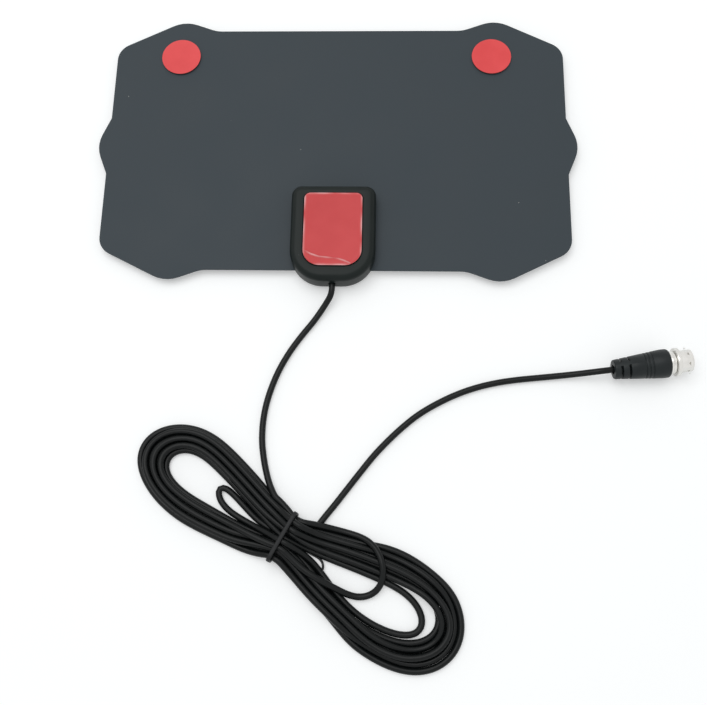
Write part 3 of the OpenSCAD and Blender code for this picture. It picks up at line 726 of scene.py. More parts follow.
    @staticmethod
    def _closest(p: np.ndarray, i: np.ndarray, j: np.ndarray) -> tuple:
        """Finds the closest places of pairs of short stretches of the line.

        Args:
            p: The line's points.
            i: First point of each pair's one stretch.
            j: First point of its other stretch.

        Returns:
            The share along each stretch, the vector between the places and its length.
        """
        a, b, c, d = p[i], p[i + 1], p[j], p[j + 1]
        first, second, apart = b - a, d - c, a - c
        aa, bb = (first * first).sum(1), (first * second).sum(1)
        cc, ee = (first * apart).sum(1), (second * second).sum(1)
        ff = (second * apart).sum(1)
        tiny = 1e-18
        solid = np.maximum(aa * ee - bb * bb, tiny)
        s = np.clip((bb * ff - cc * ee) / solid, 0, 1)
        t = np.clip((bb * s + ff) / ee, 0, 1)
        s = np.clip((bb * t - cc) / aa, 0, 1)
        gap = (a + first * s[:, None]) - (c + second * t[:, None])
        return s, t, gap, np.maximum(np.linalg.norm(gap, axis=1), 1e-9)

    def settle(self, p: np.ndarray, first: int, last: int) -> np.ndarray:
        """Lets the turns settle: no two strands share a place, and they lie on the floor or on each other.

        Args:
            p: The line's points, which are changed.
            first: The first point that may move.
            last: The point after the last that may move.

        Returns:
            The settled points.
        """
        count = len(p)
        home = p.copy()
        free = np.zeros(count, bool)
        free[first:last] = True
        along = (home[:, :2] - np.array(TIE_PLACE)) @ self._along()
        tied = free & (np.abs(along) < self.tied_reach * self.thick)
        floor = np.where(tied, TIE_THICK + self.radius, self.radius)
        for turn in range(self.rounds):
            if turn % self.look_again == 0:
                mid = (p[:-1] + p[1:]) / 2
                near = ((mid[:, None] - mid[None]) ** 2).sum(-1) < (self.near * self.thick) ** 2
                i, j = np.nonzero(np.triu(near, self.apart))
            s, t, gap, far = self._closest(p, i, j)
            hit = far < self.thick
            push = ((self.thick - far[hit]) / far[hit] / 2)[:, None] * gap[hit]
            move, load = np.zeros_like(p), np.full(count, 1e-9)
            for index, weight, sign in ((i[hit], 1 - s[hit], 1), (i[hit] + 1, s[hit], 1),
                                        (j[hit], 1 - t[hit], -1), (j[hit] + 1, t[hit], -1)):
                np.add.at(move, index, sign * push * weight[:, None])
                np.add.at(load, index, weight)
            move /= np.maximum(load, 1)[:, None]
            bend = np.zeros_like(p)
            bend[2:-2] = (-p[:-4] + 4 * p[1:-3] - 6 * p[2:-2] + 4 * p[3:-1] - p[4:]) / 16
            stiff = self.stiff[turn >= int(self.stiff_until * self.rounds)]
            p[free] += move[free] + stiff * bend[free]
            hold = self.hold[turn >= int(self.hold_until * self.rounds)]
            p[free, :2] += hold * (home[free, :2] - p[free, :2])
            p[free, 2] -= self.sink * self.thick
            p[tied] += self.tie_hold * (home[tied] - p[tied])
            p[free, 2] = np.maximum(p[free, 2], floor[free])
        for _ in range(self.calm):
            mean = (p[:-2] + 2 * p[1:-1] + p[2:]) / 4
            loose = (free & ~tied)[1:-1]
            p[1:-1][loose] = mean[loose]
        log.info("strands closer than nine tenths of a diameter: %d of %d near pairs, closest %.2f mm",
                 int((far < 0.9 * self.thick).sum()), len(far), far.min() / MM)
        return p

    def line(self) -> np.ndarray:
        """Works out the cable's middle line.

        Returns:
            Its points, half a diameter or so apart.
        """
        points, lead_count, tail_start = self.route()
        rough = self.smooth_line(points, self.step)
        first = int(np.argmin(((rough - points[lead_count - 1]) ** 2).sum(1)))
        last = int(np.argmin(((rough - points[tail_start]) ** 2).sum(1)))
        return self.smooth_line(self.settle(rough, first, last), self.step / 2)

    def build(self, shop: Workshop) -> bpy.types.Object:
        """Makes the cable as a curve of one spline.

        Args:
            shop: The workshop.

        Returns:
            The curve.
        """
        line = self.line()
        thing = shop.wire("cable", line, self.radius, "POLY", 4)
        shop.dress(thing, "jacket", Body.AERIAL, "cable_lead", "cable_bundle", "cable_tail")
        length = float(np.linalg.norm(np.diff(line, axis=0), axis=1).sum())
        log.info("cable: %.3f m of middle line, %d points", length, len(line))
        return thing


@dataclass
class TwistTie:
    """The coated wire that holds the turns: a flattened ring and its twisted end."""

    inner_half: float = 0.0113
    inner_low: float = 0.0011
    inner_high: float = 0.0094
    wide: float = 0.0018
    thick: float = TIE_THICK
    edge_share: float = 0.35
    corner: float = 0.0030
    end_route: tuple[Point, ...] = (
        (0.0000, -0.0002, 0.0006), (0.0060, -0.0003, 0.0007), (0.0120, 0.0000, 0.0008), (0.0172, 0.0006, 0.0012),
        (0.0198, -0.0010, 0.0018), (0.0205, -0.0032, 0.0016))

    def _frame(self) -> Matrix:
        """Returns the way from the tie's own frame to the part's."""
        return Matrix.Translation((*TIE_PLACE, 0)) @ Matrix.Rotation(TIE_TURN, 4, "Z")

    def build(self, shop: Workshop) -> list[bpy.types.Object]:
        """Makes the ring and the wire end.

        Args:
            shop: The workshop.

        Returns:
            Both pieces.
        """
        bm = bmesh.new()
        low, high = self.inner_low - self.thick, self.inner_high + self.thick
        half = self.inner_half + self.thick
        corners = [bm.verts.new((-self.wide / 2, y, z))
                   for y, z in ((-half, low), (half, low), (half, high), (-half, high))]
        bm.faces.new(corners)
        round_off(bm, list(bm.verts), self.corner, 8, "VERTICES")
        ring = bmesh.ops.inset_region(bm, faces=bm.faces[:], thickness=self.thick, use_boundary=True,
                                      use_even_offset=True)
        bmesh.ops.delete(bm, geom=[f for f in bm.faces if f not in ring["faces"]], context="FACES_ONLY")
        bmesh.ops.solidify(bm, geom=list(bm.faces), thickness=self.wide)
        face_out(bm)
        edges = [e for e in bm.edges if len(e.link_faces) == 2 and e.calc_face_angle(0) > math.radians(60)]
        round_off(bm, edges, self.edge_share * self.thick, 3, clamp=True)
        bmesh.ops.transform(bm, matrix=self._frame(), verts=list(bm.verts))
        loop = shop.dress(piece("twist_tie_loop", bm), "tie", Body.AERIAL, "twist_tie")
        spots = np.array([self._frame() @ Vector(spot) for spot in self.end_route])
        wire = shop.wire("twist_tie_end", spots, self.thick / 2, "NURBS", 3)
        shop.dress(wire, "tie", Body.AERIAL)
        return [loop, wire]


# Rounded slabs, that the box and its pads are cut from


@dataclass
class Slab:
    """A plate with rounded corners: two of one radius at its low side, two of another at its high side."""

    x0: float
    x1: float
    y0: float
    y1: float
    low_r: float
    high_r: float
    z0: float
    z1: float
    arc: int = 16

    def grown(self, by: float, z0: float, z1: float) -> "Slab":
        """Returns the slab whose outline lies further out by a distance, between two heights."""
        return Slab(self.x0 - by, self.x1 + by, self.y0 - by, self.y1 + by, self.low_r + by, self.high_r + by,
                    z0, z1, self.arc)

    def flat(self, bm: bmesh.types.BMesh) -> bmesh.types.BMFace:
        """Draws the outline as one face at the lower height.

        Args:
            bm: The mesh to draw in.

        Returns:
            The face.
        """
        corners = [bm.verts.new((x, y, self.z0)) for x, y in
                   ((self.x0, self.y0), (self.x1, self.y0), (self.x1, self.y1), (self.x0, self.y1))]
        bm.faces.new(corners)
        for pair, radius in ((corners[:2], self.low_r), (corners[2:], self.high_r)):
            round_off(bm, pair, radius, self.arc, "VERTICES")
        bm.faces.ensure_lookup_table()
        return bm.faces[0]

    def solid(self, top_round: float = 0.0, bottom_round: float = 0.0, steps: int = 10) -> bmesh.types.BMesh:
        """Makes the closed slab.

        Args:
            top_round: The radius of its upper edge.
            bottom_round: The radius of its lower edge.
            steps: Facets of these radii.

        Returns:
            The mesh.
        """
        bm = bmesh.new()
        face = self.flat(bm)
        up = bmesh.ops.extrude_face_region(bm, geom=[face], use_keep_orig=True)
        raised = [v for v in up["geom"] if isinstance(v, bmesh.types.BMVert)]
        bmesh.ops.translate(bm, vec=(0, 0, self.z1 - self.z0), verts=raised)
        face_out(bm)
        for height, radius in ((self.z1, top_round), (self.z0, bottom_round)):
            if radius > 0:
                rim = [e for e in bm.edges if all(abs(v.co.z - height) < 1e-7 for v in e.verts)]
                round_off(bm, rim, radius, steps)
        return bm


def rod(radius: float, z0: float, z1: float, facets: int = 64) -> bmesh.types.BMesh:
    """Makes a closed upright rod.

    Args:
        radius: Its radius.
        z0: Its lower end.
        z1: Its upper end.
        facets: Sides round it.

    Returns:
        The mesh.
    """
    bm = bmesh.new()
    bmesh.ops.create_cone(bm, cap_ends=True, segments=facets, radius1=radius, radius2=radius, depth=z1 - z0)
    return shift(bm, (0, 0, (z0 + z1) / 2))


@dataclass
class JunctionBox:
    """The two moulded shells round the board: a tray under the sheet and a deep cap over it."""

    half_wide: float = 0.0205
    low: float = -0.072695
    high: float = -0.023695
    sheet_edge: float = -0.065195
    low_r: float = 0.016
    high_r: float = 0.005
    sheet_low: float = 0.0040
    sheet_top: float = 0.0046
    top: float = 0.0126
    part_line: float = 0.0062
    shoulder: float = 0.0032
    front_edge: float = 0.0030
    wall: float = 0.0016
    front_floor: float = 0.0014
    ceiling: float = 0.0103
    recess_floor: float = 0.0118
    pad_side: float = 0.0065
    pad_low: float = 0.0070
    pad_high: float = 0.0047
    pad_low_r: float = 0.008
    pad_high_r: float = 0.003
    pad_gap: float = 0.0003
    lip_gap: float = 0.0002
    rim_round: float = 0.00035
    cable_hole_r: float = 0.00155
    notch_flare: float = 0.00035
    screw_x: float = 0.0105
    screw_rows: tuple[float, float] = (0.0055, 0.0315)
    boss_r: float = 0.0023
    screw_hole_r: float = 0.0011
    pilot_r: float = 0.00102
    pilot_floor: float = 0.0018
    counterbore_r: float = 0.0020
    counterbore_z: float = 0.0105
    past: float = 0.001

    def outline(self, z0: float, z1: float) -> Slab:
        """Returns the box's outline between two heights."""
        return Slab(-self.half_wide, self.half_wide, self.low, self.high, self.low_r, self.high_r, z0, z1)

    def pad(self, z0: float, z1: float) -> Slab:
        """Returns the pad's outline between two heights."""
        return Slab(-self.half_wide + self.pad_side, self.half_wide - self.pad_side, self.low + self.pad_low,
                    self.high - self.pad_high, self.pad_low_r, self.pad_high_r, z0, z1, 12)

    def screw_spots(self) -> list[Flat]:
        """Returns where the four screws stand."""
        return [(x, self.sheet_edge + y) for x in (-self.screw_x, self.screw_x) for y in self.screw_rows]

    def _cable_hole(self) -> bmesh.types.BMesh:
        """Makes the cutter for the cable's way out of the near wall, wider outside."""
        bm = rod(self.cable_hole_r, -self.past, self.wall + self.past, 48)
        for v in bm.verts:
            if v.co.z < 0:
                v.co.x *= 1 + self.notch_flare / self.cable_hole_r
                v.co.y *= 1 + self.notch_flare / self.cable_hole_r
        return shift(turn_about(bm, "X", math.radians(-90)), (0, self.low, self.part_line))

    def _block(self, y0: float, y1: float, z0: float, z1: float) -> bmesh.types.BMesh:
        """Makes a cutter as wide as twice the box, between two places and two heights."""
        bm = cuboid((4 * self.half_wide, y1 - y0, z1 - z0))
        return shift(bm, (0, (y0 + y1) / 2, (z0 + z1) / 2))

    def _soften(self, thing: bpy.types.Object, height: float, inside: Slab, radius: float) -> None:
        """Rounds the sharp rim of a cut at one height.

        Args:
            thing: The cut piece.
            height: The rim's height.
            inside: The outline that the whole rim lies in.
            radius: The radius of the rim.
        """
        bm = bmesh.new()
        bm.from_mesh(thing.data)
        spare = self.past / 20

        def on_rim(v: bmesh.types.BMVert) -> bool:
            """Tells whether a vertex lies on the rim."""
            return (abs(v.co.z - height) < spare / 5 and inside.x0 - spare < v.co.x < inside.x1 + spare
                    and inside.y0 - spare < v.co.y < inside.y1 + spare)

        rim = [e for e in bm.edges if all(on_rim(v) for v in e.verts) and len(e.link_faces) == 2
               and e.calc_face_angle(0) > math.radians(45)]
        round_off(bm, rim, radius, 4, clamp=True)
        bm.to_mesh(thing.data)
        bm.free()

    def back_shell(self, shop: Workshop) -> bpy.types.Object:
        """Makes the cap over the sheet.

        Args:
            shop: The workshop.

        Returns:
            The piece.
        """
        body = self.outline(self.sheet_top, self.top)
        shell = piece("back_cap", body.solid(top_round=self.shoulder))
        hollow = body.grown(-self.wall, self.sheet_top - self.past, self.ceiling)
        shop.cut(shell, hollow.solid(), Cut.TAKE_AWAY)
        for spot in self.screw_spots():
            boss = shift(rod(self.boss_r, self.sheet_top, self.ceiling + self.wall / 4, 32), (*spot, 0))
            shop.cut(shell, boss, Cut.ADD)
        lip = self._block(self.low - self.past, self.sheet_edge - self.lip_gap, self.sheet_top - self.past,
                          self.part_line)
        shop.cut(shell, lip, Cut.TAKE_AWAY)
        recess = self.pad(self.recess_floor, self.top + self.past)
        recess = recess.grown(self.pad_gap, recess.z0, recess.z1)
        shop.cut(shell, recess.solid(), Cut.TAKE_AWAY)
        for spot in self.screw_spots():
            for radius, z0, z1 in ((self.screw_hole_r, self.sheet_top - self.past, self.top),
                                   (self.counterbore_r, self.counterbore_z, self.top)):
                shop.cut(shell, shift(rod(radius, z0, z1, 32), (*spot, 0)), Cut.TAKE_AWAY)
        shop.cut(shell, self._cable_hole(), Cut.TAKE_AWAY)
        self._soften(shell, self.top, recess, self.rim_round)
        return shop.dress(shell, "shell", Body.AERIAL, "back_shell")

    def front_shell(self, shop: Workshop) -> bpy.types.Object:
        """Makes the tray under the sheet, whose near wall rises to the cable's axis.

        Args:
            shop: The workshop.

        Returns:
            The piece.
        """
        body = self.outline(0.0, self.part_line)
        shell = piece("front_tray", body.solid(bottom_round=self.front_edge, steps=6))
        above = self._block(self.sheet_edge - self.lip_gap, self.high + self.past, self.sheet_low,
                            self.part_line + self.past)
        shop.cut(shell, above, Cut.TAKE_AWAY)
        hollow = body.grown(-self.wall, self.front_floor, self.part_line + self.past)
        shop.cut(shell, hollow.solid(), Cut.TAKE_AWAY)
        for spot in self.screw_spots():
            boss = shift(rod(self.boss_r, self.front_floor - self.wall / 4, self.sheet_low, 32), (*spot, 0))
            shop.cut(shell, boss, Cut.ADD)
            pilot = shift(rod(self.pilot_r, self.pilot_floor, self.sheet_low + self.past, 32), (*spot, 0))
            shop.cut(shell, pilot, Cut.TAKE_AWAY)
        shop.cut(shell, self._cable_hole(), Cut.TAKE_AWAY)
        return shop.dress(shell, "shell", Body.AERIAL, "front_shell")

    def build(self, shop: Workshop) -> None:
        """Makes both shells."""
        self.back_shell(shop)
        self.front_shell(shop)


@dataclass
class StickyPads:
    """The red release liners: one in the box's recess, with a crease, and two round ones."""

    box: JunctionBox
    liner: float = 0.00015
    pad_low_z: float = 0.0128
    disc_low_z: float = 0.0054
    disc_r: float = 0.010
    disc_spots: tuple[Flat, Flat] = ((-0.0815, 0.052005), (0.0785, 0.052005))
    grid: float = 0.0003
    crease_points: tuple[Flat, ...] = (
        (-0.0133, -0.0583), (-0.0100, -0.0602), (-0.0060, -0.0615), (-0.0010, -0.0620), (0.0030, -0.0625),
        (0.0058, -0.0634), (0.0086, -0.0647))
    crease_high: float = 0.00032
    crease_wide: float = 0.00034
    wave_high: float = 0.00010
    edge_drop: float = 0.00012
    edge_wide: float = 0.0008
    # Painted highlight: how far in from the edges it reaches, its strength along the edges, and its mean and change
    # along the crease
    highlight_reach: float = 0.0006
    edge_highlight: float = 0.35
    crease_highlight: Flat = (0.45, 0.3)
    disc_rings: int = 14
    disc_lift: float = 0.00012
    lift_from: float = 0.4

    def _crease(self, x: float, y: float) -> float:
        """Returns the crease's height at a place, at most one."""
        best = 0.0
        for (ax, ay), (bx, by) in zip(self.crease_points, self.crease_points[1:]):
            share = ((x - ax) * (bx - ax) + (y - ay) * (by - ay)) / ((bx - ax) ** 2 + (by - ay) ** 2)
            share = min(1.0, max(0.0, share))
            away = math.hypot(x - ax - share * (bx - ax), y - ay - share * (by - ay))
            best = max(best, math.exp(-(away / self.crease_wide) ** 2))
        return best

    def _wave(self, x: float, y: float) -> float:
        """Returns the film's slow unevenness at a place, about from minus one to one."""
        return 0.5 * (math.sin(310 * x + 1.1 + 160 * y) + math.sin(230 * y - 120 * x + 0.4))

    def box_liner(self, shop: Workshop) -> bpy.types.Object:
        """Makes the liner of the box's pad.

        Args:
            shop: The workshop.

        Returns:
            The piece.
        """
        outline = self.box.pad(self.pad_low_z - self.liner, self.pad_low_z + 10 * self.liner)
        wide, high = outline.x1 - outline.x0, outline.y1 - outline.y0
        bm = bmesh.new()
        bmesh.ops.create_grid(bm, x_segments=round(wide / self.grid), y_segments=round(high / self.grid), size=0.5)
        bmesh.ops.scale(bm, vec=(1.02 * wide, 1.02 * high, 1), verts=list(bm.verts))
        middle = ((outline.x0 + outline.x1) / 2, (outline.y0 + outline.y1) / 2)
        shift(bm, (*middle, self.pad_low_z))
        bmesh.ops.solidify(bm, geom=list(bm.faces), thickness=-self.liner)
        for v in bm.verts:
            x, y = v.co.x, v.co.y
            inward = min(x - outline.x0, outline.x1 - x, y - outline.y0, outline.y1 - y)
            lift = self.crease_high * self._crease(x, y) + self.wave_high * (1 + self._wave(x, y)) / 2
            v.co.z += lift - self.edge_drop * math.exp(-max(inward, 0.0) / self.edge_wide) + self.edge_drop
        face_out(bm)
        sheet = piece("pad_release_liner", bm)
        shop.cut(sheet, outline.solid(), Cut.KEEP_COMMON)
        # Paints highlights on the crease and along the edges
        self._paint_highlights(sheet.data, outline)
        return shop.dress(sheet, "pad_red", Body.AERIAL, "pad_liner")

    def _paint_highlights(self, mesh: bpy.types.Mesh, outline: Slab) -> None:
        """Paints highlights into the liner's colour along its crease and along its edges, where the film catches the
        light.

        Args:
            mesh: The liner's mesh.
            outline: The liner's outline.
        """
        rows = []
        mean, change = self.crease_highlight
        for v in mesh.vertices:
            x, y = v.co.x, v.co.y
            side = min(x - outline.x0, outline.x1 - x)
            end = min(y - outline.y0, outline.y1 - y)
            # Painted highlight along the edges, where the lifted film catches the light, and along the crease
            edge = math.exp(-(min(side, end) / self.highlight_reach) ** 2)
            edge_highlight = self.edge_highlight * (1 + self._wave(2 * x, 2 * y))
            rows.append(min(1.0, (mean + change * self._wave(3 * x, y)) * self._crease(x, y) + edge_highlight * edge))
        mesh.attributes.new(HIGHLIGHT_MASK, "FLOAT", "POINT").data.foreach_set("value", rows)

    def disc_liner(self, shop: Workshop, name: str, spot: Flat, tilt: float, node: str) -> bpy.types.Object:
        """Makes a round liner, very slightly uneven.

        Args:
            shop: The workshop.
            name: The piece's name.
            spot: Its middle.
            tilt: The direction that its lifted side points to.
            node: The CAD node that it replaces.

        Returns:
            The piece.
        """
        bm = bmesh.new()
        bmesh.ops.create_circle(bm, cap_ends=True, radius=self.disc_r, segments=96)
        for _ in range(self.disc_rings):
            inner = max(bm.faces, key=lambda f: len(f.verts))
            bmesh.ops.inset_region(bm, faces=[inner], thickness=self.disc_r / (self.disc_rings + 2), use_boundary=True,
                                   use_even_offset=True)
        face_out(bm)
        bmesh.ops.solidify(bm, geom=list(bm.faces), thickness=self.liner)
        for v in bm.verts:
            side = v.co.x * math.cos(tilt) + v.co.y * math.sin(tilt)
            lift = 0.5 * self.wave_high * (1 + self._wave(v.co.x + spot[0], v.co.y)) / 2
            v.co.z += lift + self.disc_lift * max(0.0, side / self.disc_r - self.lift_from) ** 2
        low = min(v.co.z for v in bm.verts)
        shift(bm, (*spot, self.disc_low_z - low))
        face_out(bm)
        return shop.dress(piece(name, bm), "disc_red", Body.AERIAL, node)

    def build(self, shop: Workshop) -> None:
        """Makes the three liners."""
        self.box_liner(shop)
        left, right = self.disc_spots
        self.disc_liner(shop, "round_liner_left", left, math.radians(70), "disc_liner_left")
        self.disc_liner(shop, "round_liner_right", right, math.radians(-60), "disc_liner_right")


# Plug


@dataclass
class Plug:
    """The moulded grip, the plated collar, the hexagon nut that turns, the insulator and the pin."""

    grip_long: float = 0.0255
    small_r: float = 0.0045
    large_r: float = 0.00665
    taper_end: float = 0.0220
    small_edge: float = 0.0006
    large_edge: float = 0.0013
    bore_r: float = 0.00155
    mouth_r: float = 0.0022
    mouth_deep: float = 0.0010
    ring_first: float = 0.0135
    ring_pitch: float = 0.0016
    ring_wide: float = 0.0007
    ring_deep: float = 0.00035
    slot_spots: tuple[float, float] = (0.0031, 0.0067)
    slot_wide: float = 0.0011
    slot_lip: float = 0.00018
    spine_wide: float = 0.0018
    spine_turn: float = math.radians(-14)
    core_r: float = 0.0026
    stem_start: float = 0.0170
    stem_r: float = 0.0040
    collar_r: float = 0.0053
    collar_end: float = 0.0279
    neck_r: float = 0.0036
    flange_start: float = 0.0298
    flange_end: float = 0.0308
    flange_r: float = 0.0042
    insulator_r: float = 0.0028
    nut_start: float = 0.0280
    nut_long: float = 0.0078
    nut_flats: float = 0.0111
    nut_rear_r: float = 0.0066
    nut_rear_long: float = 0.0020
    nut_front_r: float = 0.0052
    nut_front_long: float = 0.0015
    nut_edge: float = 0.0004
    hex_edge: float = 0.00015
    nut_turned: float = 0.0006
    nut_wall: float = 0.0016
    nut_neck_r: float = 0.00365
    thread_r: float = 0.0044
    thread_pitch: float = 0.00079
    thread_deep: float = 0.00035
    pin_r: float = 0.0005
    pin_end: float = 0.0348
    around: int = 96

    def _frame(self) -> Matrix:
        """Returns the way from the plug's frame, whose Z is its axis and Y is up, to the part's."""
        stand = Matrix(((0, 0, 1), (1, 0, 0), (0, 1, 0))).to_4x4()
        return Matrix.Translation(PLUG_PLACE) @ Matrix.Rotation(PLUG_TURN, 4, "Z") @ stand

    def _turned(self, profile: list[Flat], around: int | None = None) -> bmesh.types.BMesh:
        """Turns a closed profile round the plug's axis.

        Args:
            profile: Points as radius and distance along the axis.
            around: Facets of the turn.

        Returns:
            The mesh, in the plug's frame.
        """
        bm = bmesh.new()
        steps = around or self.around
        points = [bm.verts.new((r, 0, s)) for r, s in profile]
        edges = [bm.edges.new((a, b)) for a, b in zip(points, points[1:] + points[:1])
                 if max(a.co.x, b.co.x) > 1e-7]
        bmesh.ops.spin(bm, geom=points + edges, cent=(0, 0, 0), axis=(0, 0, 1), angle=FULL_TURN, steps=steps,
                       use_merge=True)
        bmesh.ops.remove_doubles(bm, verts=list(bm.verts), dist=1e-7)
        face_out(bm)
        return bm

    @staticmethod
    def _quarter(r: float, s: float, radius: float, start: float, steps: int = 6) -> list[Flat]:
        """Returns an arc of a quarter turn about (r, s), from an angle counted from straight outwards."""
        return [(r + radius * math.cos(start + k * math.pi / 2 / steps),
                 s + radius * math.sin(start + k * math.pi / 2 / steps)) for k in range(steps + 1)]

    def _grip_r(self, s: float) -> float:
        """Returns the grip's radius at a distance along it."""
        return self.small_r + (self.large_r - self.small_r) * s / self.taper_end

    def _groove(self, s: float) -> list[Flat]:
        """Returns one fine ring's profile, with soft lips."""
        shape = ((-0.15, 0.0), (0.1, 0.25), (0.25, 0.85), (0.5, 1.0), (0.75, 0.85), (0.9, 0.25), (1.15, 0.0))
        return [(self._grip_r(s + along * self.ring_wide) - deep * self.ring_deep, s + along * self.ring_wide)
                for along, deep in shape]

    def place_on(self, bm: bmesh.types.BMesh) -> bmesh.types.BMesh:
        """Moves a mesh from the plug's frame to the part's and returns it."""
        bmesh.ops.transform(bm, matrix=self._frame(), verts=list(bm.verts))
        return bm

    def grip(self, shop: Workshop) -> bpy.types.Object:
        """Makes the moulded grip with its slots and fine rings.

        Args:
            shop: The workshop.

        Returns:
            The piece.
        """
        small, large = self.small_edge, self.large_edge
        profile = [(self.bore_r, self.mouth_deep), (self.mouth_r, self.mouth_deep), (self.mouth_r, 0.0)]
        profile += self._quarter(self._grip_r(0) - small, small, small, -math.pi / 2)
        for k in range(3):
            profile += self._groove(self.ring_first + k * self.ring_pitch)
        profile += [(self.large_r, self.taper_end)]
        profile += self._quarter(self.large_r - large, self.grip_long - large, large, 0.0, 8)
        profile += [(self.stem_r, self.grip_long), (self.stem_r, self.stem_start), (self.bore_r, self.stem_start)]
        grip = piece("grip_moulding", self._turned(profile))
        for s in self.slot_spots:
            for side in (-1, 1):
                bm = cuboid((2 * self.large_r, 4 * self.large_r, self.slot_wide))
                shift(bm, (side * (self.spine_wide / 2 + self.large_r), 0, s))
                tool = piece("tool", turn_about(bm, "Z", self.spine_turn))
                core = rod(self.core_r, s - self.slot_wide, s + self.slot_wide, 48)
                shop.cut(tool, core, Cut.TAKE_AWAY)
                shop.cut(grip, tool, Cut.TAKE_AWAY)
        bm = bmesh.new()
        bm.from_mesh(grip.data)
        bmesh.ops.remove_doubles(bm, verts=list(bm.verts), dist=1e-6)
        lips = []
        for e in bm.edges:
            if len(e.link_faces) != 2 or e.calc_face_angle(0) < math.radians(50):
                continue
            middle = (e.verts[0].co + e.verts[1].co) / 2
            outside = math.hypot(middle.x, middle.y) > self._grip_r(middle.z) - 0.0002
            if outside and any(abs(abs(middle.z - s) - self.slot_wide / 2) < 1e-5 for s in self.slot_spots):
                lips.append(e)
        round_off(bm, lips, self.slot_lip, 3, clamp=True)
        self.place_on(bm)
        bm.to_mesh(grip.data)
        bm.free()
        return shop.dress(grip, "grip", Body.AERIAL, "plug_grip")

    def collar(self, shop: Workshop) -> bpy.types.Object:
        """Makes the plated body: a stem in the grip, the collar that shows, the neck and the flange.

        Args:
            shop: The workshop.

        Returns:
            The piece.
        """
        edge = 0.00025
        bead = 0.0001
        profile = [(self.insulator_r, self.stem_start), (self.stem_r, self.stem_start), (self.stem_r, self.grip_long)]
        profile += self._quarter(self.collar_r - edge, self.grip_long + edge, edge, -math.pi / 2, 4)
        ring = (self.grip_long + self.collar_end) / 2
        profile += [(self.collar_r, ring - 3 * bead), (self.collar_r - 1.5 * bead, ring - bead),
                    (self.collar_r - 1.5 * bead, ring + bead), (self.collar_r, ring + 3 * bead)]
        profile += self._quarter(self.collar_r - edge, self.collar_end - edge, edge, 0.0, 4)
        profile += [(self.neck_r, self.collar_end), (self.neck_r, self.flange_start),
                    (self.flange_r, self.flange_start), (self.flange_r, self.flange_end),
                    (self.insulator_r, self.flange_end)]
        bm = self.place_on(self._turned(profile))
        return shop.dress(piece("plated_collar", bm), "nickel", Body.AERIAL, "plug_body")

    def nut(self, shop: Workshop) -> bpy.types.Object:
        """Makes the nut: round rear flange, hexagon with turned corners, front collar and thread.

        Args:
            shop: The workshop.

        Returns:
            The piece.
        """
        edge, end = self.nut_edge, self.nut_long
        hex_end = end - self.nut_front_long
        corner_r = self.nut_flats / 2 / math.cos(math.radians(30))
        bore = self.thread_r
        profile = [(self.nut_neck_r, 0.0)]
        profile += self._quarter(self.nut_rear_r - edge, edge, edge, -math.pi / 2, 5)
        profile += self._quarter(self.nut_rear_r - edge, self.nut_rear_long - edge, edge, 0.0, 5)
        profile += [(self.nut_front_r, self.nut_rear_long)]
        profile += self._quarter(self.nut_front_r - edge, end - edge, edge, 0.0, 5)
        profile += [(bore + edge / 2, end), (bore, end - edge / 2), (bore, self.nut_wall),
                    (self.nut_neck_r, self.nut_wall)]
        nut = piece("hexagon_nut", self._turned(profile))
        hexagon = bmesh.new()
        bmesh.ops.create_cone(hexagon, cap_ends=True, segments=6, radius1=corner_r, radius2=corner_r,
                              depth=hex_end - self.nut_rear_long + edge)
        turn_about(hexagon, "Z", math.radians(30))
        shift(hexagon, (0, 0, (hex_end + self.nut_rear_long - edge) / 2))
        sides = [e for e in hexagon.edges if abs(e.verts[0].co.z - e.verts[1].co.z) > edge]
        round_off(hexagon, sides, self.hex_edge, 3)
        block = piece("tool", hexagon)
        turned = [(0.0, 0.0), (2 * corner_r, 0.0), (2 * corner_r, hex_end - self.nut_turned - corner_r),
                  (corner_r, hex_end - self.nut_turned), (corner_r - self.nut_turned, hex_end), (0.0, hex_end)]
        shop.cut(block, self._turned(turned), Cut.KEEP_COMMON)
        shop.cut(block, rod((bore + self.nut_front_r) / 2, 0.0, end), Cut.TAKE_AWAY)
        shop.cut(nut, block, Cut.ADD)
        bm = bmesh.new()
        bm.from_mesh(nut.data)
        thread_start = self.flange_end - self.nut_start + self.thread_pitch / 2
        turns = int((end - edge - thread_start) / self.thread_pitch)
        half, overlap = 0.42 * self.thread_pitch, 0.00005
        ridge = [bm.verts.new((radius, 0, thread_start + along)) for radius, along in
                 ((bore + overlap, -half), (bore - self.thread_deep, 0.0), (bore + overlap, half))]
        face = bm.faces.new(ridge)
        steps = 48 * turns
        bmesh.ops.spin(bm, geom=[face], cent=(0, 0, 0), axis=(0, 0, 1), dvec=(0, 0, turns * self.thread_pitch / steps),
                       angle=turns * FULL_TURN, steps=steps)
        shift(bm, (0, 0, self.nut_start))
        self.place_on(bm)
        bm.to_mesh(nut.data)
        bm.free()
        return shop.dress(nut, "nickel", Body.NUT, "coupling_nut")

    def pin(self, shop: Workshop) -> bpy.types.Object:
        """Makes the centre pin with its rounded tip.

        Args:
            shop: The workshop.

        Returns:
            The piece.
        """
        tip = 0.8 * self.pin_r
        profile = [(0.0, self.stem_start), (self.pin_r, self.stem_start)]
        profile += self._quarter(self.pin_r - tip, self.pin_end - tip, tip, 0.0, 6) + [(0.0, self.pin_end)]
        bm = self.place_on(self._turned(profile, 32))
        return shop.dress(piece("centre_pin", bm), "pin_metal", Body.AERIAL, "plug_pin")

    def build(self, shop: Workshop) -> list[bpy.types.Object]:
        """Makes the plug.

        Args:
            shop: The workshop.

        Returns:
            Its pieces.
        """
        return [self.grip(shop), self.collar(shop), self.nut(shop), self.pin(shop)]


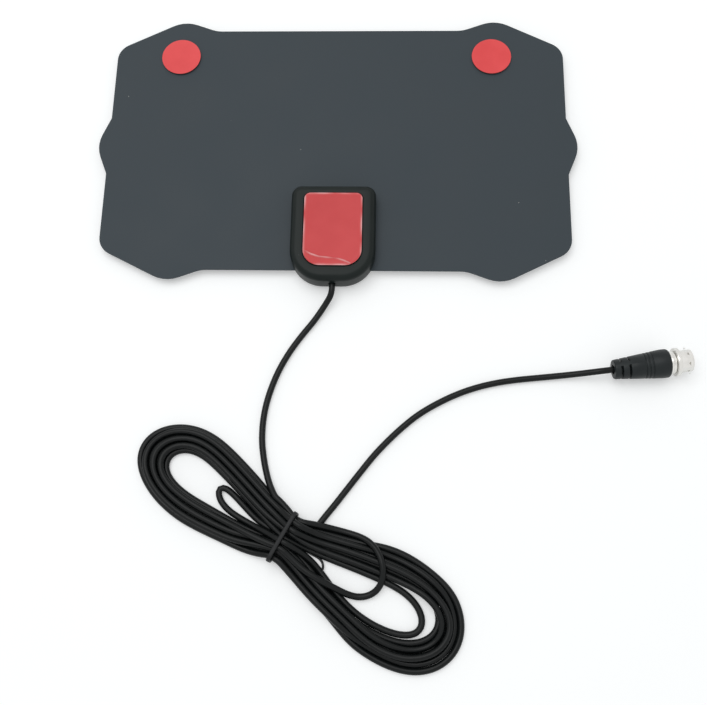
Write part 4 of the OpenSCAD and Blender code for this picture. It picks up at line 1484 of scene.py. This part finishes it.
def main() -> None:
    """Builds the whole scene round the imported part."""
    logging.basicConfig(level=logging.INFO, format="%(message)s")
    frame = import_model()
    effects = Effects()
    materials = {finish.slot: finish.material(effects) for finish in FINISHES}
    shop = Workshop(frame["nodes"], materials, frame["record"]["subparts"])
    Studio().build()
    cable = Cable()
    cord = cable.build(shop)
    tie = TwistTie().build(shop)
    plug = Plug().build(shop)
    box = JunctionBox()
    box.build(shop)
    StickyPads(box).build(shop)
    shop.repaint()


if __name__ == "__main__":
    main()
